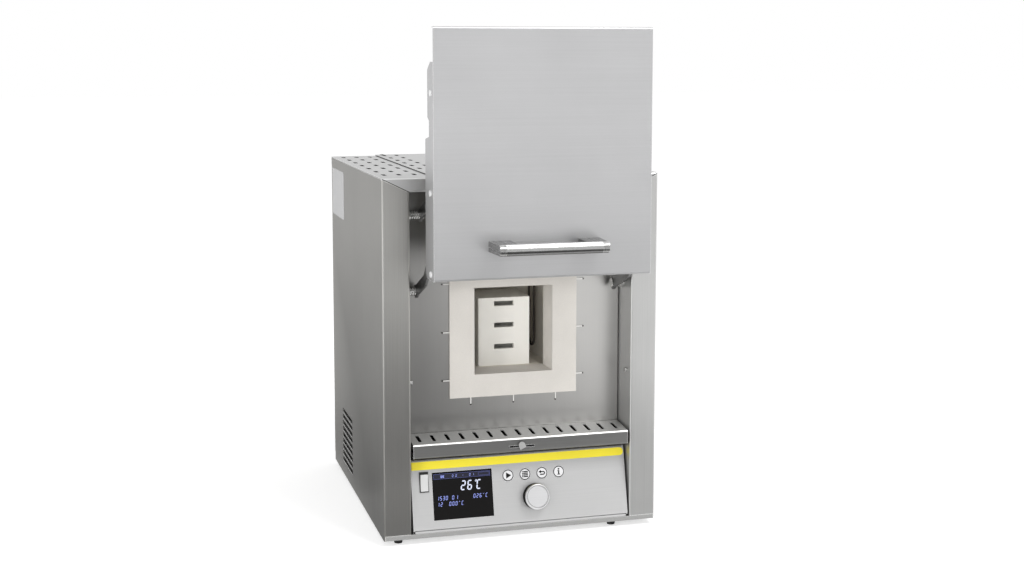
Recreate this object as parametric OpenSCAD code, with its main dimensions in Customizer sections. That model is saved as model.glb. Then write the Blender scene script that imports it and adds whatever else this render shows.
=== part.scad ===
// Compact dental sintering furnace with a parallel-swing lift door.
// The case's front plane is y = 0 and its floor is z = 0 before placed() centres the whole.

/* [Case] */
// Width over the side panels
case_w = 385; // [370:1:460]
// Depth from front posts to rear panel
case_d = 425; // [400:1:520]
// Height of the roof above the table
case_h = 496.4; // [490:0.1:600]
// Height of the rubber feet
foot_h = 8; // [5:0.5:15]
// Radius of a foot at its pad
foot_r = 6.5; // [5:0.5:12]
// Sheet thickness of case and door
sheet_t = 1.5; // [1:0.1:2]
// Middle radius of the sheet bends
bend_r = 2; // [1.5:0.1:3]
// Width of the two front posts
post_w = 37.5; // [34:0.5:42]
// Height of the fascia over the door
fascia_h = 19; // [16:0.5:24]
// Depth of the door recess
recess_d = 48.5; // [47:0.5:60]
// Gap between neighbouring sheets
seam = 0.3; // [0.2:0.05:0.5]

/* [Vents] */
// Width of a vent slot
slot_w = 3.6; // [3:0.1:5]
// Length of a side vent slot
side_slot_len = 86; // [60:1:100]
// Number of side vent slots
side_slot_count = 9; // [5:1:9]
// Pitch of the side vent slots
side_slot_pitch = 9.6; // [8:0.1:11]
// Length of a roof slot
roof_slot_len = 22; // [16:1:26]
// Width of a roof slot
roof_slot_w = 6; // [4:0.5:8]

/* [Chamber] */
// Width of the chamber mouth
mouth_w = 112; // [100:1:120]
// Height of the chamber mouth
mouth_h = 120.8; // [112:0.1:130]
// Height of the chamber floor above the table
mouth_z = 218.5; // [215:0.5:235]
// Width of the mouth collar
collar_w = 182; // [170:1:190]
// Height of the mouth collar
collar_h = 184; // [176:1:196]
// Depth of the collar's reveal
reveal_d = 45; // [36:1:50]
// Clear width of the heated chamber
chamber_w = 146; // [142:1:160]
// Depth of the heated chamber
chamber_d = 124; // [120:1:140]
// Clear height of the heated chamber
chamber_h = 136; // [132:1:150]
// Wall of the fibre insulation
insulation_t = 52; // [45:1:56]
// Radius of a heating rod's hot part
rod_r = 1.8; // [1.5:0.1:2.5]
// Distance between a heating rod's two legs
rod_pitch = 26; // [22:1:30]

/* [Saggars] */
// Side of a square saggar
saggar_w = 74.5; // [60:0.5:78]
// Height of one saggar
saggar_h = 30.7; // [24:0.1:32]
// Wall of a saggar
saggar_t = 6; // [4:0.5:8]
// Thickness of the saggar lid
lid_t = 5; // [4:0.5:8]

/* [Door] */
// Width of the door
door_w = 290; // [284:0.2:296]
// Height of the door
door_h = 319.6; // [300:0.1:324]
// Length of a door arm between its pivots
arm_len = 143; // [138:0.5:146]
// Angle of the arms above level, door open
arm_open = 35; // [30:0.5:40]
// Angle of the arms below level, door shut
arm_shut = 82.5; // [80:0.5:84]
// Width of an arm
arm_w = 15; // [12:0.5:16]
// Thickness of an arm
arm_t = 3; // [2.5:0.1:3.5]
// Radius of a pivot pin
pin_r = 4; // [3:0.1:4.5]
// Running clearance round a pivot pin
pin_play = 0.08; // [0.05:0.01:0.1]
// Play of the upper arms round their door pins
free_play = 0.4; // [0.3:0.05:0.6]
// Height of the lower fixed pivots
lower_pivot_z = 341; // [336:0.5:345]
// Distance between lower and upper pivots
pivot_rise = 103; // [96:0.5:108]
// Depth of the fixed pivots behind the front
pivot_y = 31; // [29:0.5:33]
// Radius of the handle bar
bar_r = 7.4; // [5:0.1:9]
// Length of the handle bar
bar_len = 143; // [120:1:180]
// Distance from door face to handle axis
bar_out = 42; // [30:1:50]

/* [Panel] */
// Tilt of the control panel back from upright
panel_tilt = 13.1; // [10:0.1:15]
// Length of the control panel up its slope
panel_len = 95; // [90:0.5:96]
// Width of the display window
display_w = 84; // [70:1:90]
// Height of the display window
display_h = 64.2; // [54:0.2:68]
// Radius of the control knob
knob_r = 17.6; // [13:0.1:20]
// Height of the control knob
knob_h = 15; // [12:0.5:20]
// Radius of a key
key_r = 7.9; // [6:0.1:9]
// Distance between neighbouring keys
key_pitch = 24.3; // [22:0.1:26]
// Height of the air shelf above the table
shelf_z = 137.6; // [136:0.1:139]
// Height of the air shelf's front face
shelf_face = 19.6; // [16:0.1:20]

/* [Rear] */
// Radius of the fan opening
fan_r = 38; // [30:1:45]
// Number of fan blades
blade_count = 7; // [5:1:9]
// Radius of the exhaust stub
stub_r = 20; // [15:0.5:24]
// Height of the exhaust stub over the roof cover
stub_h = 26; // [20:1:40]

/* [Hidden] */

$fn = 48;
arc_steps = 6;
cut = 1;

// Colours, as the photograph shows them.
steel = [0.60, 0.60, 0.59];
light_steel = [0.76, 0.76, 0.77];
bright_steel = [0.82, 0.82, 0.83];
panel_grey = [0.80, 0.80, 0.80];
fibre = [0.88, 0.87, 0.84];
saggar_white = [0.90, 0.89, 0.86];
black = [0.10, 0.10, 0.10];
board_green = [0.12, 0.35, 0.22];
copper = [0.72, 0.45, 0.28];
yellow = [0.95, 0.88, 0.20];

// Case planes.
half_w = case_w/2;
foot_left = 22.5;
foot_right = 58;
foot_front = 18.5;
lip_h = 7;
fold_w = 12;
side_flange_h = 20;
wall_x = half_w - post_w;
fascia_z = case_h - fascia_h;
plate_y = recess_d + sheet_t;
wall_end = plate_y + 14;
rear_y = case_d - sheet_t;
cover_z = case_h + seam;
cover_t = sheet_t;
cover_half = 123.5;

// Chamber planes.
collar_y = recess_d - 2.5;
chamber_y = collar_y + reveal_d;
chamber_z = mouth_z - 6;
mouth_mid_z = mouth_z + mouth_h/2;
body_half = chamber_w/2 + insulation_t;
body_z0 = chamber_z - insulation_t;
body_z1 = chamber_z + chamber_h + insulation_t;
body_y0 = plate_y + 0.5;
body_y1 = chamber_y + chamber_d + insulation_t;
casing_gap = 0.5;
leg_back = 40;
leg_w = 20;
rod_half = chamber_w/2 - 11;
rod_y0 = chamber_y + 78;
leg_r = 3;
leg_top = body_z1 + 22;
pipe_y = chamber_y + chamber_d/2;
pipe_r = 14;

// Door planes, with the door open.
door_rise = arm_len*(sin(arm_open) + sin(arm_shut));
door_travel = arm_len*(cos(arm_open) - cos(arm_shut));
door_y = -door_travel;
door_gap = 9;
shut_z = fascia_z - door_gap - door_h;
door_z = shut_z + door_rise;
door_half = door_w/2;
door_pin_y = pivot_y - arm_len*cos(arm_open);
door_pin_z = lower_pivot_z + arm_len*sin(arm_open);
flange_t = sheet_t;
pin_gap = 0.3;
arm_x = door_half - flange_t - 1.8 - arm_t;
// The upper arms swing inside the heads of the lower shafts.
shaft_head = 2;
upper_x = arm_x - pin_gap - shaft_head - 0.8 - arm_t;
plate_gap = 34;
back_half = upper_x - 4;
bar_y = door_y - bar_out;
bar_rise = 43;
bar_z = door_z + bar_rise;

// Panel frame: x across, y up the slope, z out of the face.
panel_y = -1;
panel_z = 19;
panel_half = wall_x - 2.5;
display_x = -81.8;
display_y = 44.4;
rocker_x = -135.2;
rocker_y = 64.7;
rocker_w = 12.3;
rocker_h = 27.4;
key_x = -17.3;
key_y = 65.1;
knob_x = 19.6;
knob_y = 34.4;
shaft_r = 3;
bush_r = 4.4;

// Whole object: origin at the middle of the box's bottom, door open.
guard_t = 2.4;
front_most = bar_y - bar_r;
rear_most = case_d + guard_t + 0.4;
mid_y = (front_most + rear_most)/2;

// Placing and sheet-metal helpers.
module placed() { translate([0, -mid_y, 0]) children(); }
module on_panel() { translate([0, panel_y, panel_z]) rotate([90 - panel_tilt, 0, 0]) children(); }
module both_sides() { children(); mirror([1, 0, 0]) children(); }
module box(x0, x1, y0, y1, z0, z1) { translate([x0, y0, z0]) cube([x1 - x0, y1 - y0, z1 - z0]); }
module rod_x(x0, x1, y, z, r) { translate([x0, y, z]) rotate([0, 90, 0]) cylinder(r = r, h = x1 - x0); }
module rod_y(y0, y1, x, z, r) { translate([x, y1, z]) rotate([90, 0, 0]) cylinder(r = r, h = y1 - y0); }

function unit(v) = v/norm(v);
function left_of(d) = [-d[1], d[0]];
function turned(v, a) = [v[0]*cos(a) - v[1]*sin(a), v[0]*sin(a) + v[1]*cos(a)];
function turn(a, b) = atan2(a[0]*b[1] - a[1]*b[0], a[0]*b[0] + a[1]*b[1]);

// Points and left normals of a rounded corner on a sheet's middle line.
function corner(p, d1, d2, r) =
    let (phi = turn(d1, d2), s = sign(phi), centre = p - d1*r*tan(abs(phi)/2) + left_of(d1)*s*r)
    [for (k = [0:arc_steps]) let (n = turned(left_of(d1), phi*k/arc_steps)) [centre - n*s*r, n]];
function stations(pts, r) = [for (i = [0:len(pts) - 1])
    each (i == 0 ? [[pts[0], left_of(unit(pts[1] - pts[0]))]]
        : i == len(pts) - 1 ? [[pts[i], left_of(unit(pts[i] - pts[i - 1]))]]
        : corner(pts[i], unit(pts[i] - pts[i - 1]), unit(pts[i + 1] - pts[i]), r))];

// Outline of a folded sheet along a middle line, and its prism.
module folded(pts, length, t = sheet_t, r = bend_r) {
    s = stations(pts, r);
    n = len(s);
    linear_extrude(length) polygon(concat(
        [for (k = [0:n - 1]) s[k][0] + s[k][1]*t/2],
        [for (k = [n - 1:-1:0]) s[k][0] - s[k][1]*t/2]));
}

// A prism along X whose outline is drawn in the Y-Z plane.
module across(x0) { translate([x0, 0, 0]) rotate([90, 0, 90]) children(); }

// Slots with round ends, cut along their third axis.
module slot(length, width, depth) {
    run = length/2 - width/2;
    translate([-run, -width/2, 0]) cube([2*run, width, depth]);
    for (x = [-run, run]) translate([x, 0, 0]) cylinder(d = width, h = depth, $fn = 16);
}

// Case: base, sides, roof and rear.
module base_pan() {
    inner = half_w - sheet_t - seam;
    m = sheet_t/2;
    vent_len = 30;
    vent_pitch = 20;
    stud_hole_r = 2.6;
    placed() color(light_steel) difference() {
        union() {
            across(-inner) folded([[m, foot_h + lip_h], [m, foot_h + m], [case_d - m, foot_h + m],
                [case_d - m, foot_h + fold_w]], 2*inner);
            both_sides() box(inner - sheet_t, inner, fold_w/2, case_d - fold_w/2,
                foot_h + sheet_t, foot_h + side_flange_h);
        }
        for (k = [-3:3], y = [case_d - 175, case_d - 125]) translate([k*vent_pitch, y, foot_h - cut])
            rotate(90) slot(vent_len, slot_w, sheet_t + 2*cut);
        foot_places() translate([0, 0, foot_h - cut])
            cylinder(r = stud_hole_r, h = sheet_t + 2*cut, $fn = 24);
    }
}
module foot_places() {
    for (x = [foot_left - half_w, half_w - foot_right], y = [foot_front, case_d - foot_front])
        translate([x, y, 0]) children();
}
module feet() {
    floor_t = 2;
    stud_r = 2.4;
    nut_h = 3;
    placed() color(black) foot_places() {
        difference() {
            cylinder(r1 = foot_r - 1, r2 = foot_r, h = foot_h);
            translate([0, 0, -cut]) cylinder(r = foot_r/2, h = foot_h - floor_t + cut, $fn = 24);
        }
        translate([0, 0, foot_h - floor_t]) cylinder(r = stud_r, h = floor_t + sheet_t + nut_h, $fn = 24);
    }
}
module side_panel() {
    m = sheet_t/2;
    side = half_w - m;
    wall = wall_x + m;
    post_z = foot_h + lip_h;
    difference() {
        translate([0, 0, foot_h]) folded([[side - fold_w, rear_y - seam - m], [side, rear_y - seam - m],
            [side, m], [wall, m], [wall, wall_end]], case_h - sheet_t - seam - foot_h);
        // Front post stops above the base lip.
        box(wall_x - cut, half_w - sheet_t - seam, -cut, wall_end + cut, foot_h - cut, post_z);
        // Rear fold stops above the base pan.
        box(side - fold_w - cut, half_w - sheet_t - seam, rear_y - 5, case_d,
            foot_h - cut, foot_h + side_flange_h + seam);
        // Rear fold stops under the roof's bend.
        box(side - fold_w - cut, half_w + cut, rear_y - seam - sheet_t - cut, case_d,
            case_h - sheet_t - bend_r, case_h);
        // Post and fascia meet in a mitre.
        translate([0, bend_r + sheet_t, 0]) rotate([90, 0, 0]) linear_extrude(3*bend_r + sheet_t)
            polygon([[wall_x - cut, fascia_z - seam], [wall_x, fascia_z - seam],
                [half_w + cut, mitre_z(half_w + cut) - seam], [half_w + cut, case_h + cut],
                [wall_x - cut, case_h + cut]]);
        box(wall_x - cut, half_w - sheet_t - cut, sheet_t, wall_end + cut, fascia_z - seam, case_h + cut);
        side_vents();
    }
}
function mitre_z(x) = fascia_z + (x - wall_x)*(fascia_h - sheet_t)/post_w;
module side_vents() {
    first_z = 32.3;
    vent_y = 296;
    for (k = [0:side_slot_count - 1]) translate([half_w - 4, vent_y, first_z + k*side_slot_pitch])
        rotate([0, 90, 0]) rotate(90) slot(side_slot_len, slot_w, 8);
}
module left_side_panel() { placed() color(steel) mirror([1, 0, 0]) side_panel(); }
module right_side_panel() { placed() color(steel) side_panel(); }

module roof_panel() {
    m = sheet_t/2;
    rows = [half_w - 55.5, half_w - 34.5, half_w - 14];
    first_y = 57;
    pitch = (case_d - 31 - first_y)/6;
    placed() color(light_steel) difference() {
        across(-half_w) folded([[wall_end, fascia_z + m], [m, fascia_z + m], [m, case_h - m],
            [case_d - m, case_h - m], [case_d - m, case_h - fold_w]], case_w);
        both_sides() {
            translate([0, bend_r + 2*sheet_t, 0]) rotate([90, 0, 0]) linear_extrude(3*bend_r + 3*sheet_t)
                polygon([[wall_x, fascia_z - cut], [wall_x, fascia_z],
                    [half_w + cut, mitre_z(half_w + cut)], [half_w + cut, fascia_z - cut]]);
            box(wall_x - seam, half_w + cut, bend_r, wall_end + cut,
                fascia_z - cut, fascia_z + sheet_t + cut);
            for (x = rows, k = [0:6]) translate([x, first_y + pitch*k, case_h - 2*sheet_t])
                rotate(90) slot(roof_slot_len, roof_slot_w, 3*sheet_t);
        }
        // Opening under the roof cover.
        box(-cover_half + 24, cover_half - 24, 100, case_d - 30, case_h - 2*sheet_t, case_h + cut);
    }
}
module roof_cover() {
    rows = [cover_half - 30, cover_half - 10.5];
    first_y = 133.7;
    pitch = (case_d - 29 - first_y)/5;
    placed() color(light_steel) difference() {
        box(-cover_half, cover_half, 12, case_d - 4, cover_z, cover_z + cover_t);
        both_sides() for (x = rows, k = [0:5]) translate([x, first_y + pitch*k, cover_z - cut])
            rotate(90) slot(roof_slot_len, roof_slot_w, cover_t + 2*cut);
        translate([0, pipe_y, cover_z - cut]) cylinder(r = stub_r - 1, h = cover_t + 2*cut);
    }
}
module rear_panel() {
    z0 = foot_h + fold_w + seam;
    z1 = case_h - fold_w - seam;
    x1 = half_w - seam;
    vent_len = 36;
    vent_pitch = 15;
    placed() color(steel) difference() {
        box(-x1, x1, rear_y, case_d, z0, z1);
        rod_y(rear_y - cut, case_d + cut, fan_x, fan_z, fan_r);
        fan_bolts() rod_y(rear_y - cut, case_d + cut, 0, 0, 2.2);
        box(inlet_x - inlet_w/2, inlet_x + inlet_w/2, rear_y - cut, case_d + cut,
            inlet_z - inlet_h/2, inlet_z + inlet_h/2);
        for (k = [-8:8], z = [330, 400]) translate([k*vent_pitch, case_d + cut, z])
            rotate([90, 90, 0]) slot(vent_len, slot_w, sheet_t + 2*cut);
    }
}
fan_x = 70;
fan_z = 96;
bolt_square = 36;
inlet_x = -118;
inlet_z = 60;
inlet_w = 31;
inlet_h = 25;
module fan_bolts() {
    for (x = [-bolt_square, bolt_square], z = [-bolt_square, bolt_square])
        translate([fan_x + x, 0, fan_z + z]) children();
}

// Recess and shelf.
module recess_plate() {
    x1 = wall_x - seam;
    m = sheet_t/2;
    below_shelf = 17;
    z0 = shelf_z - below_shelf;
    z1 = fascia_z - seam;
    y0 = recess_d + m;
    y1 = y0 + 13;
    placed() color(steel) difference() {
        translate([0, 0, z0]) folded([[m - x1, y1], [m - x1, y0], [x1 - m, y0], [x1 - m, y1]], z1 - z0);
        box(-collar_w/2 - seam, collar_w/2 + seam, recess_d - cut, plate_y + cut,
            mouth_mid_z - collar_h/2 - seam, mouth_mid_z + collar_h/2 + seam);
    }
}
module air_shelf() {
    m = sheet_t/2;
    x1 = wall_x - 3;
    back = recess_d - seam;
    slot_len = 28;
    slot_wide = 5;
    slot_pitch = (2*x1 - 24)/14;
    slot_y = back/2 + 1.4;
    placed() color(light_steel) difference() {
        across(-x1) folded([[back - 12, shelf_z - shelf_face + m], [m, shelf_z - shelf_face + m],
            [m, shelf_z - m], [back - m, shelf_z + 3], [back - m, shelf_z - 14]], 2*x1);
        for (k = [-7:7]) translate([slot_pitch*k, slot_y, shelf_z - 8]) rotate(90)
            slot(slot_len, slot_wide, 16);
        translate([lever_x, 2*sheet_t, lever_z]) rotate([90, 0, 0])
            slot(lever_run + 10, lever_slot, 4*sheet_t);
    }
}
lever_x = -1;
lever_z = 126;
lever_slot = 2.6;
lever_run = 26;
module air_lever() {
    stem_w = 7;
    stem = lever_slot - 0.6;
    tab_w = 9;
    tab_len = 12;
    tab_lean = 24;
    tab_y = -3;
    placed() color(bright_steel) {
        box(lever_x - stem_w/2, lever_x + stem_w/2, tab_y - sheet_t/2, 4, lever_z - stem/2, lever_z + stem/2);
        box(lever_x - 11, lever_x + 11, sheet_t + seam, 4, lever_z - 4.6, lever_z + 4.6);
        translate([lever_x, tab_y, lever_z]) rotate([90, 0, 0]) rotate(tab_lean) linear_extrude(sheet_t) {
            translate([-tab_w/2, -tab_w/4]) square([tab_w, tab_len - 3*tab_w/4]);
            translate([0, tab_len - tab_w]) circle(d = tab_w);
        }
    }
}

// Control panel and what sits in it.
module cheek() {
    s = sin(panel_tilt);
    c = cos(panel_tilt);
    low = [panel_y + c*sheet_t/2, panel_z - s*sheet_t/2];
    high = low + panel_len*[s, c];
    floor_z = foot_h + sheet_t;
    linear_extrude(sheet_t) polygon([low, high, [cheek_end, high[1]], [cheek_end, floor_z], [4, floor_z],
        [4, foot_h + lip_h + 0.5]]);
}
cheek_end = 44;
module control_panel() {
    placed() color(panel_grey) difference() {
        union() {
            on_panel() translate([-panel_half, 0, 0]) rotate([90, 0, 90]) folded([[0, -20],
                [sheet_t/2, -sheet_t/2], [panel_len - sheet_t/2, -sheet_t/2],
                [panel_len, -18]], 2*panel_half);
            both_sides() across(panel_half - sheet_t) cheek();
        }
        on_panel() {
            translate([display_x - display_w/2, display_y - display_h/2, -6]) cube([display_w, display_h, 8]);
            translate([rocker_x - rocker_w/2 + 1, rocker_y - rocker_h/2 + 1, -6])
                cube([rocker_w - 2, rocker_h - 2, 8]);
            key_places() translate([0, 0, -6]) cylinder(r = key_r + seam, h = 8);
            translate([knob_x, knob_y, -6]) cylinder(r = bush_r + 0.4, h = 8);
        }
    }
}
module key_places() { for (k = [0:3]) translate([key_x + k*key_pitch, key_y, 0]) children(); }
module panel_stripe() {
    stripe_w = 10.9;
    end_r = stripe_w/2;
    top = panel_len - bend_r - 1;
    placed() color(yellow) on_panel() {
        translate([-panel_half + 1, top - stripe_w, 0]) cube([2*panel_half - 2 - end_r, stripe_w, 0.5]);
        translate([panel_half - 1 - end_r, top - end_r, 0]) cylinder(r = end_r, h = 0.5);
    }
}
module display_lens() {
    g = 0.2;
    placed() color(black) on_panel()
        translate([display_x - display_w/2 + g, display_y - display_h/2 + g, -1.8])
        cube([display_w - 2*g, display_h - 2*g, 2]);
}
module display_module() {
    edge = 3;
    depth = 8;
    placed() color([0.3, 0.3, 0.32]) on_panel()
        translate([display_x - display_w/2 - edge, display_y - display_h/2 - edge, -1.8 - depth])
        cube([display_w + 2*edge, display_h + 2*edge, depth]);
}
module rocker_frame() {
    rim = 0.8;
    rim_h = 1.6;
    rim_floor = 0.4;
    body_in = 1.3;
    body_h = 17;
    wall = 1.2;
    placed() color(black) on_panel() difference() {
        translate([rocker_x, rocker_y, 0]) union() {
            translate([-rocker_w/2, -rocker_h/2, 0]) cube([rocker_w, rocker_h, rim_h]);
            translate([body_in - rocker_w/2, body_in - rocker_h/2, -body_h])
                cube([rocker_w - 2*body_in, rocker_h - 2*body_in, body_h]);
        }
        translate([rocker_x, rocker_y, 0]) {
            translate([rim - rocker_w/2, rim - rocker_h/2, rim_floor])
                cube([rocker_w - 2*rim, rocker_h - 2*rim, rim_h]);
            translate([body_in + wall - rocker_w/2, body_in + wall - rocker_h/2, 5 - body_h])
                cube([rocker_w - 2*body_in - 2*wall, rocker_h - 2*body_in - 2*wall, body_h]);
            translate([-rocker_neck/2 - 0.7, 0, rocker_axis]) rotate([0, 90, 0])
                cylinder(r = trunnion_r + 0.3, h = rocker_neck + 1.4);
        }
    }
}
rocker_axis = -3;
rocker_tilt = 8;
rocker_neck = rocker_w - 5.6;
trunnion_r = 1;
module rocker_button() {
    reach = rocker_h/2 - 2.4;
    neck_reach = reach - 1.2;
    under = 5.2;
    paddle_w = rocker_w - 2;
    paddle_t = 1.3;
    placed() color(light_steel) on_panel() translate([rocker_x, rocker_y, rocker_axis])
        rotate([rocker_tilt, 0, 0]) {
            rotate([90, 0, 90]) {
                translate([0, 0, -rocker_neck/2]) linear_extrude(rocker_neck) polygon([[-neck_reach, 1.6],
                    [-neck_reach, under + 0.1], [neck_reach, under + 0.1], [neck_reach, 1.6],
                    [4, -3.4], [-4, -3.4]]);
                translate([0, 0, -paddle_w/2]) linear_extrude(paddle_w) polygon(concat([[-reach, under]],
                    [for (k = [0:8]) let (t = -1 + k/4) [reach*t, under + paddle_t*(1 + 0.7*t*t)]],
                    [[reach, under]]));
            }
            rotate([0, 90, 0]) translate([0, 0, -rocker_neck/2 - 0.4])
                cylinder(r = trunnion_r, h = rocker_neck + 0.8);
        }
}
module key(k) {
    placed() color(light_steel) on_panel() translate([key_x + k*key_pitch, key_y, 0]) {
        translate([0, 0, -4]) cylinder(r = key_r, h = 4.6);
        translate([0, 0, -5]) cylinder(r = key_r + 1.2, h = 1);
        translate([0, 0, -8.2]) cylinder(r = 1.7, h = 3.4);
    }
}
module start_key() { key(0); }
module menu_key() { key(1); }
module back_key() { key(2); }
module info_key() { key(3); }
module control_board() {
    placed() color(board_green) on_panel() {
        difference() {
            translate([key_x - 16, 6, -14.8]) cube([3*key_pitch + 32, 74, 1.6]);
            translate([knob_x, knob_y, -16]) cylinder(r = 4, h = 4);
        }
        key_places() translate([-3, -3, -13.2]) cube([6, 6, 4.1]);
        translate([display_x - 20, 20, -14.8]) cube([key_x - 16 - display_x + 20, 40, 1.6]);
        translate([display_x - 16, 26, -13.2]) cube([12, 12, 3.3]);
    }
}
module encoder() {
    placed() color([0.5, 0.5, 0.48]) on_panel() difference() {
        translate([knob_x, knob_y, 0]) union() {
            translate([-7, -7, -13.1]) cube([14, 14, 7]);
            translate([0, 0, -6.2]) cylinder(r = bush_r, h = 6);
            translate([0, 0, -15.5]) cylinder(r = 3.2, h = 2.5);
        }
        translate([knob_x, knob_y, -11]) cylinder(r = shaft_r + 0.06, h = 12);
    }
}
module control_knob() {
    lip = 1.2;
    placed() color(bright_steel) on_panel() translate([knob_x, knob_y, 0]) {
        rotate_extrude($fn = 72) polygon([
            [0, 0.8], [knob_r - 0.6, 0.8], [knob_r, 1.6], [knob_r, knob_h - 1.6],
            [knob_r - 0.9, knob_h - 0.3], [knob_r - 1.8, knob_h], [knob_r - 2.6, knob_h - lip],
            [0, knob_h - lip]]);
        translate([0, 0, -9]) cylinder(r = shaft_r, h = 10);
    }
}

// Chamber and its insulation.
module mouth_collar() {
    z0 = mouth_mid_z - collar_h/2;
    z1 = mouth_mid_z + collar_h/2;
    placed() color(fibre) difference() {
        union() {
            box(-collar_w/2, collar_w/2, collar_y, chamber_y, z0, z1);
            box(-body_half, body_half, body_y0, chamber_y, body_z0, body_z1);
        }
        box(-mouth_w/2, mouth_w/2, collar_y - cut, chamber_y + cut, mouth_z, mouth_z + mouth_h);
    }
}
module right_block() {
    box(chamber_w/2, body_half, chamber_y, chamber_y + chamber_d, chamber_z, chamber_z + chamber_h);
}
module right_insulation() { placed() color(fibre) right_block(); }
module left_insulation() { placed() color(fibre) mirror([1, 0, 0]) right_block(); }
module roof_insulation() {
    placed() color(fibre) difference() {
        box(-body_half, body_half, chamber_y, chamber_y + chamber_d, chamber_z + chamber_h, body_z1);
        rod_places() both_legs() cylinder(r = leg_r + 0.3, h = insulation_t + 2*cut);
        translate([0, pipe_y, chamber_z + chamber_h - cut])
            cylinder(r = pipe_r + 0.3, h = insulation_t + 2*cut);
    }
}
module floor_insulation() {
    placed() color(fibre) {
        box(-body_half, body_half, chamber_y, chamber_y + chamber_d, body_z0, chamber_z);
        // Hearth that the saggars stand on.
        box(-mouth_w/2 + 4, mouth_w/2 - 4, chamber_y, chamber_y + chamber_d - 4, chamber_z, mouth_z);
    }
}
module rear_insulation() {
    placed() color(fibre) difference() {
        box(-body_half, body_half, chamber_y + chamber_d, body_y1, body_z0, body_z1);
        rod_y(chamber_y + chamber_d - cut, body_y1 + cut, 0, couple_z, couple_r + 0.3);
    }
}
couple_z = mouth_z + mouth_h - 10;
couple_r = 4;
module inner_casing() {
    g = casing_gap;
    x1 = body_half + g;
    m = sheet_t/2;
    z0 = body_z0 - g;
    z1 = body_z1 + g;
    placed() color(steel) difference() {
        union() {
            // Wrap of floor, sides and roof, with a rear sheet.
            translate([0, body_y1, 0]) rotate([90, 0, 0]) difference() {
                translate([-x1 - sheet_t, z0 - sheet_t, 0])
                    cube([2*x1 + 2*sheet_t, z1 - z0 + 2*sheet_t, body_y1 - body_y0]);
                translate([-x1, z0, -cut]) cube([2*x1, z1 - z0, body_y1 - body_y0 + 2*cut]);
            }
            box(-x1 - sheet_t, x1 + sheet_t, body_y1, body_y1 + sheet_t, z0 - sheet_t, z1 + sheet_t);
            // Legs down to the base pan.
            both_sides() for (y = [body_y0 + 20, body_y1 - leg_back])
                box(x1 - 24, x1, y, y + leg_w, foot_h + sheet_t, z0 - sheet_t);
        }
        rod_places() both_legs() translate([0, 0, insulation_t - 4]) cylinder(r = leg_r + 5.5, h = 16);
        translate([0, pipe_y, z1 - 4]) cylinder(r = pipe_r + 1, h = 10);
        rod_y(body_y1 - cut, body_y1 + sheet_t + cut, 0, couple_z, couple_r + 0.6);
    }
}
module staple(side_x, z, dx, dz) {
    wire_r = 0.8;
    ball_r = 1.15;
    y = recess_d - ball_r - 0.1;
    reach = 10;
    if (dx != 0) {
        rod_x(min(side_x, side_x + dx*reach), max(side_x, side_x + dx*reach), y, z, wire_r);
        translate([side_x + dx*reach, y, z]) sphere(r = ball_r, $fn = 16);
    } else {
        translate([side_x, y, min(z, z + dz*reach)]) cylinder(r = wire_r, h = reach, $fn = 24);
        translate([side_x, y, z + dz*reach]) sphere(r = ball_r, $fn = 16);
    }
}
module collar_staples() {
    x1 = collar_w/2;
    top = mouth_mid_z + collar_h/2;
    bottom = mouth_mid_z - collar_h/2;
    placed() color(bright_steel) {
        for (z = [-67, 0, 67]) {
            staple(x1, mouth_mid_z + z, 1, 0);
            staple(-x1, mouth_mid_z + z, -1, 0);
        }
        for (x = [-61, 0, 61]) {
            staple(x, bottom, 0, -1);
            staple(x, top, 0, 1);
        }
    }
}
module rod_places() {
    for (x = [-rod_half, rod_half]) translate([x, rod_y0, chamber_z + chamber_h - cut]) children();
}
module both_legs() { for (s = [-1, 1]) translate([0, s*rod_pitch/2, 0]) children(); }
module heating_rods() {
    drop = 116;
    bend = rod_pitch/2;
    top = leg_top - chamber_z - chamber_h + cut;
    cone = 6;
    cone_z = -12;
    placed() color([0.25, 0.24, 0.24]) rod_places() {
        both_legs() {
            translate([0, 0, bend - drop]) cylinder(r = rod_r, h = cone_z + drop - bend, $fn = 32);
            translate([0, 0, cone_z]) cylinder(r1 = rod_r, r2 = leg_r, h = cone, $fn = 32);
            translate([0, 0, cone_z + cone]) cylinder(r = leg_r, h = top - cone_z - cone, $fn = 32);
        }
        translate([0, 0, bend - drop]) rotate([-90, 0, -90]) rotate_extrude(angle = 180, $fn = 48)
            translate([bend, 0]) circle(r = rod_r, $fn = 24);
    }
}
module rod_clamps() {
    z = leg_top - chamber_z - chamber_h - 14;
    placed() color([0.7, 0.7, 0.72]) {
        rod_places() both_legs() translate([0, 0, z]) difference() {
            translate([-8, -7, 0]) cube([16, 14, 9]);
            translate([0, 0, -cut]) cylinder(r = leg_r + 0.05, h = 12, $fn = 32);
        }
        // Ceramic collars that the clamps stand on.
        rod_places() both_legs() translate([0, 0, insulation_t + cut + 0.1]) difference() {
            cylinder(r = leg_r + 5, h = z - insulation_t - cut - 0.1);
            translate([0, 0, -cut]) cylinder(r = leg_r + 0.3, h = z);
        }
    }
}
module thermocouple() {
    tip = chamber_y + chamber_d - 28;
    head = body_y1 + sheet_t + 1;
    placed() color([0.85, 0.84, 0.80]) {
        rod_y(tip, head, 0, couple_z, couple_r);
        rod_y(head, head + 22, 0, couple_z, 14);
    }
}
module exhaust_pipe() {
    placed() color(fibre) translate([0, pipe_y, chamber_z + chamber_h]) difference() {
        cylinder(r = pipe_r, h = case_h - chamber_z - chamber_h - 8);
        translate([0, 0, -cut]) cylinder(r = pipe_r - 4, h = case_h);
    }
}
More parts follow.
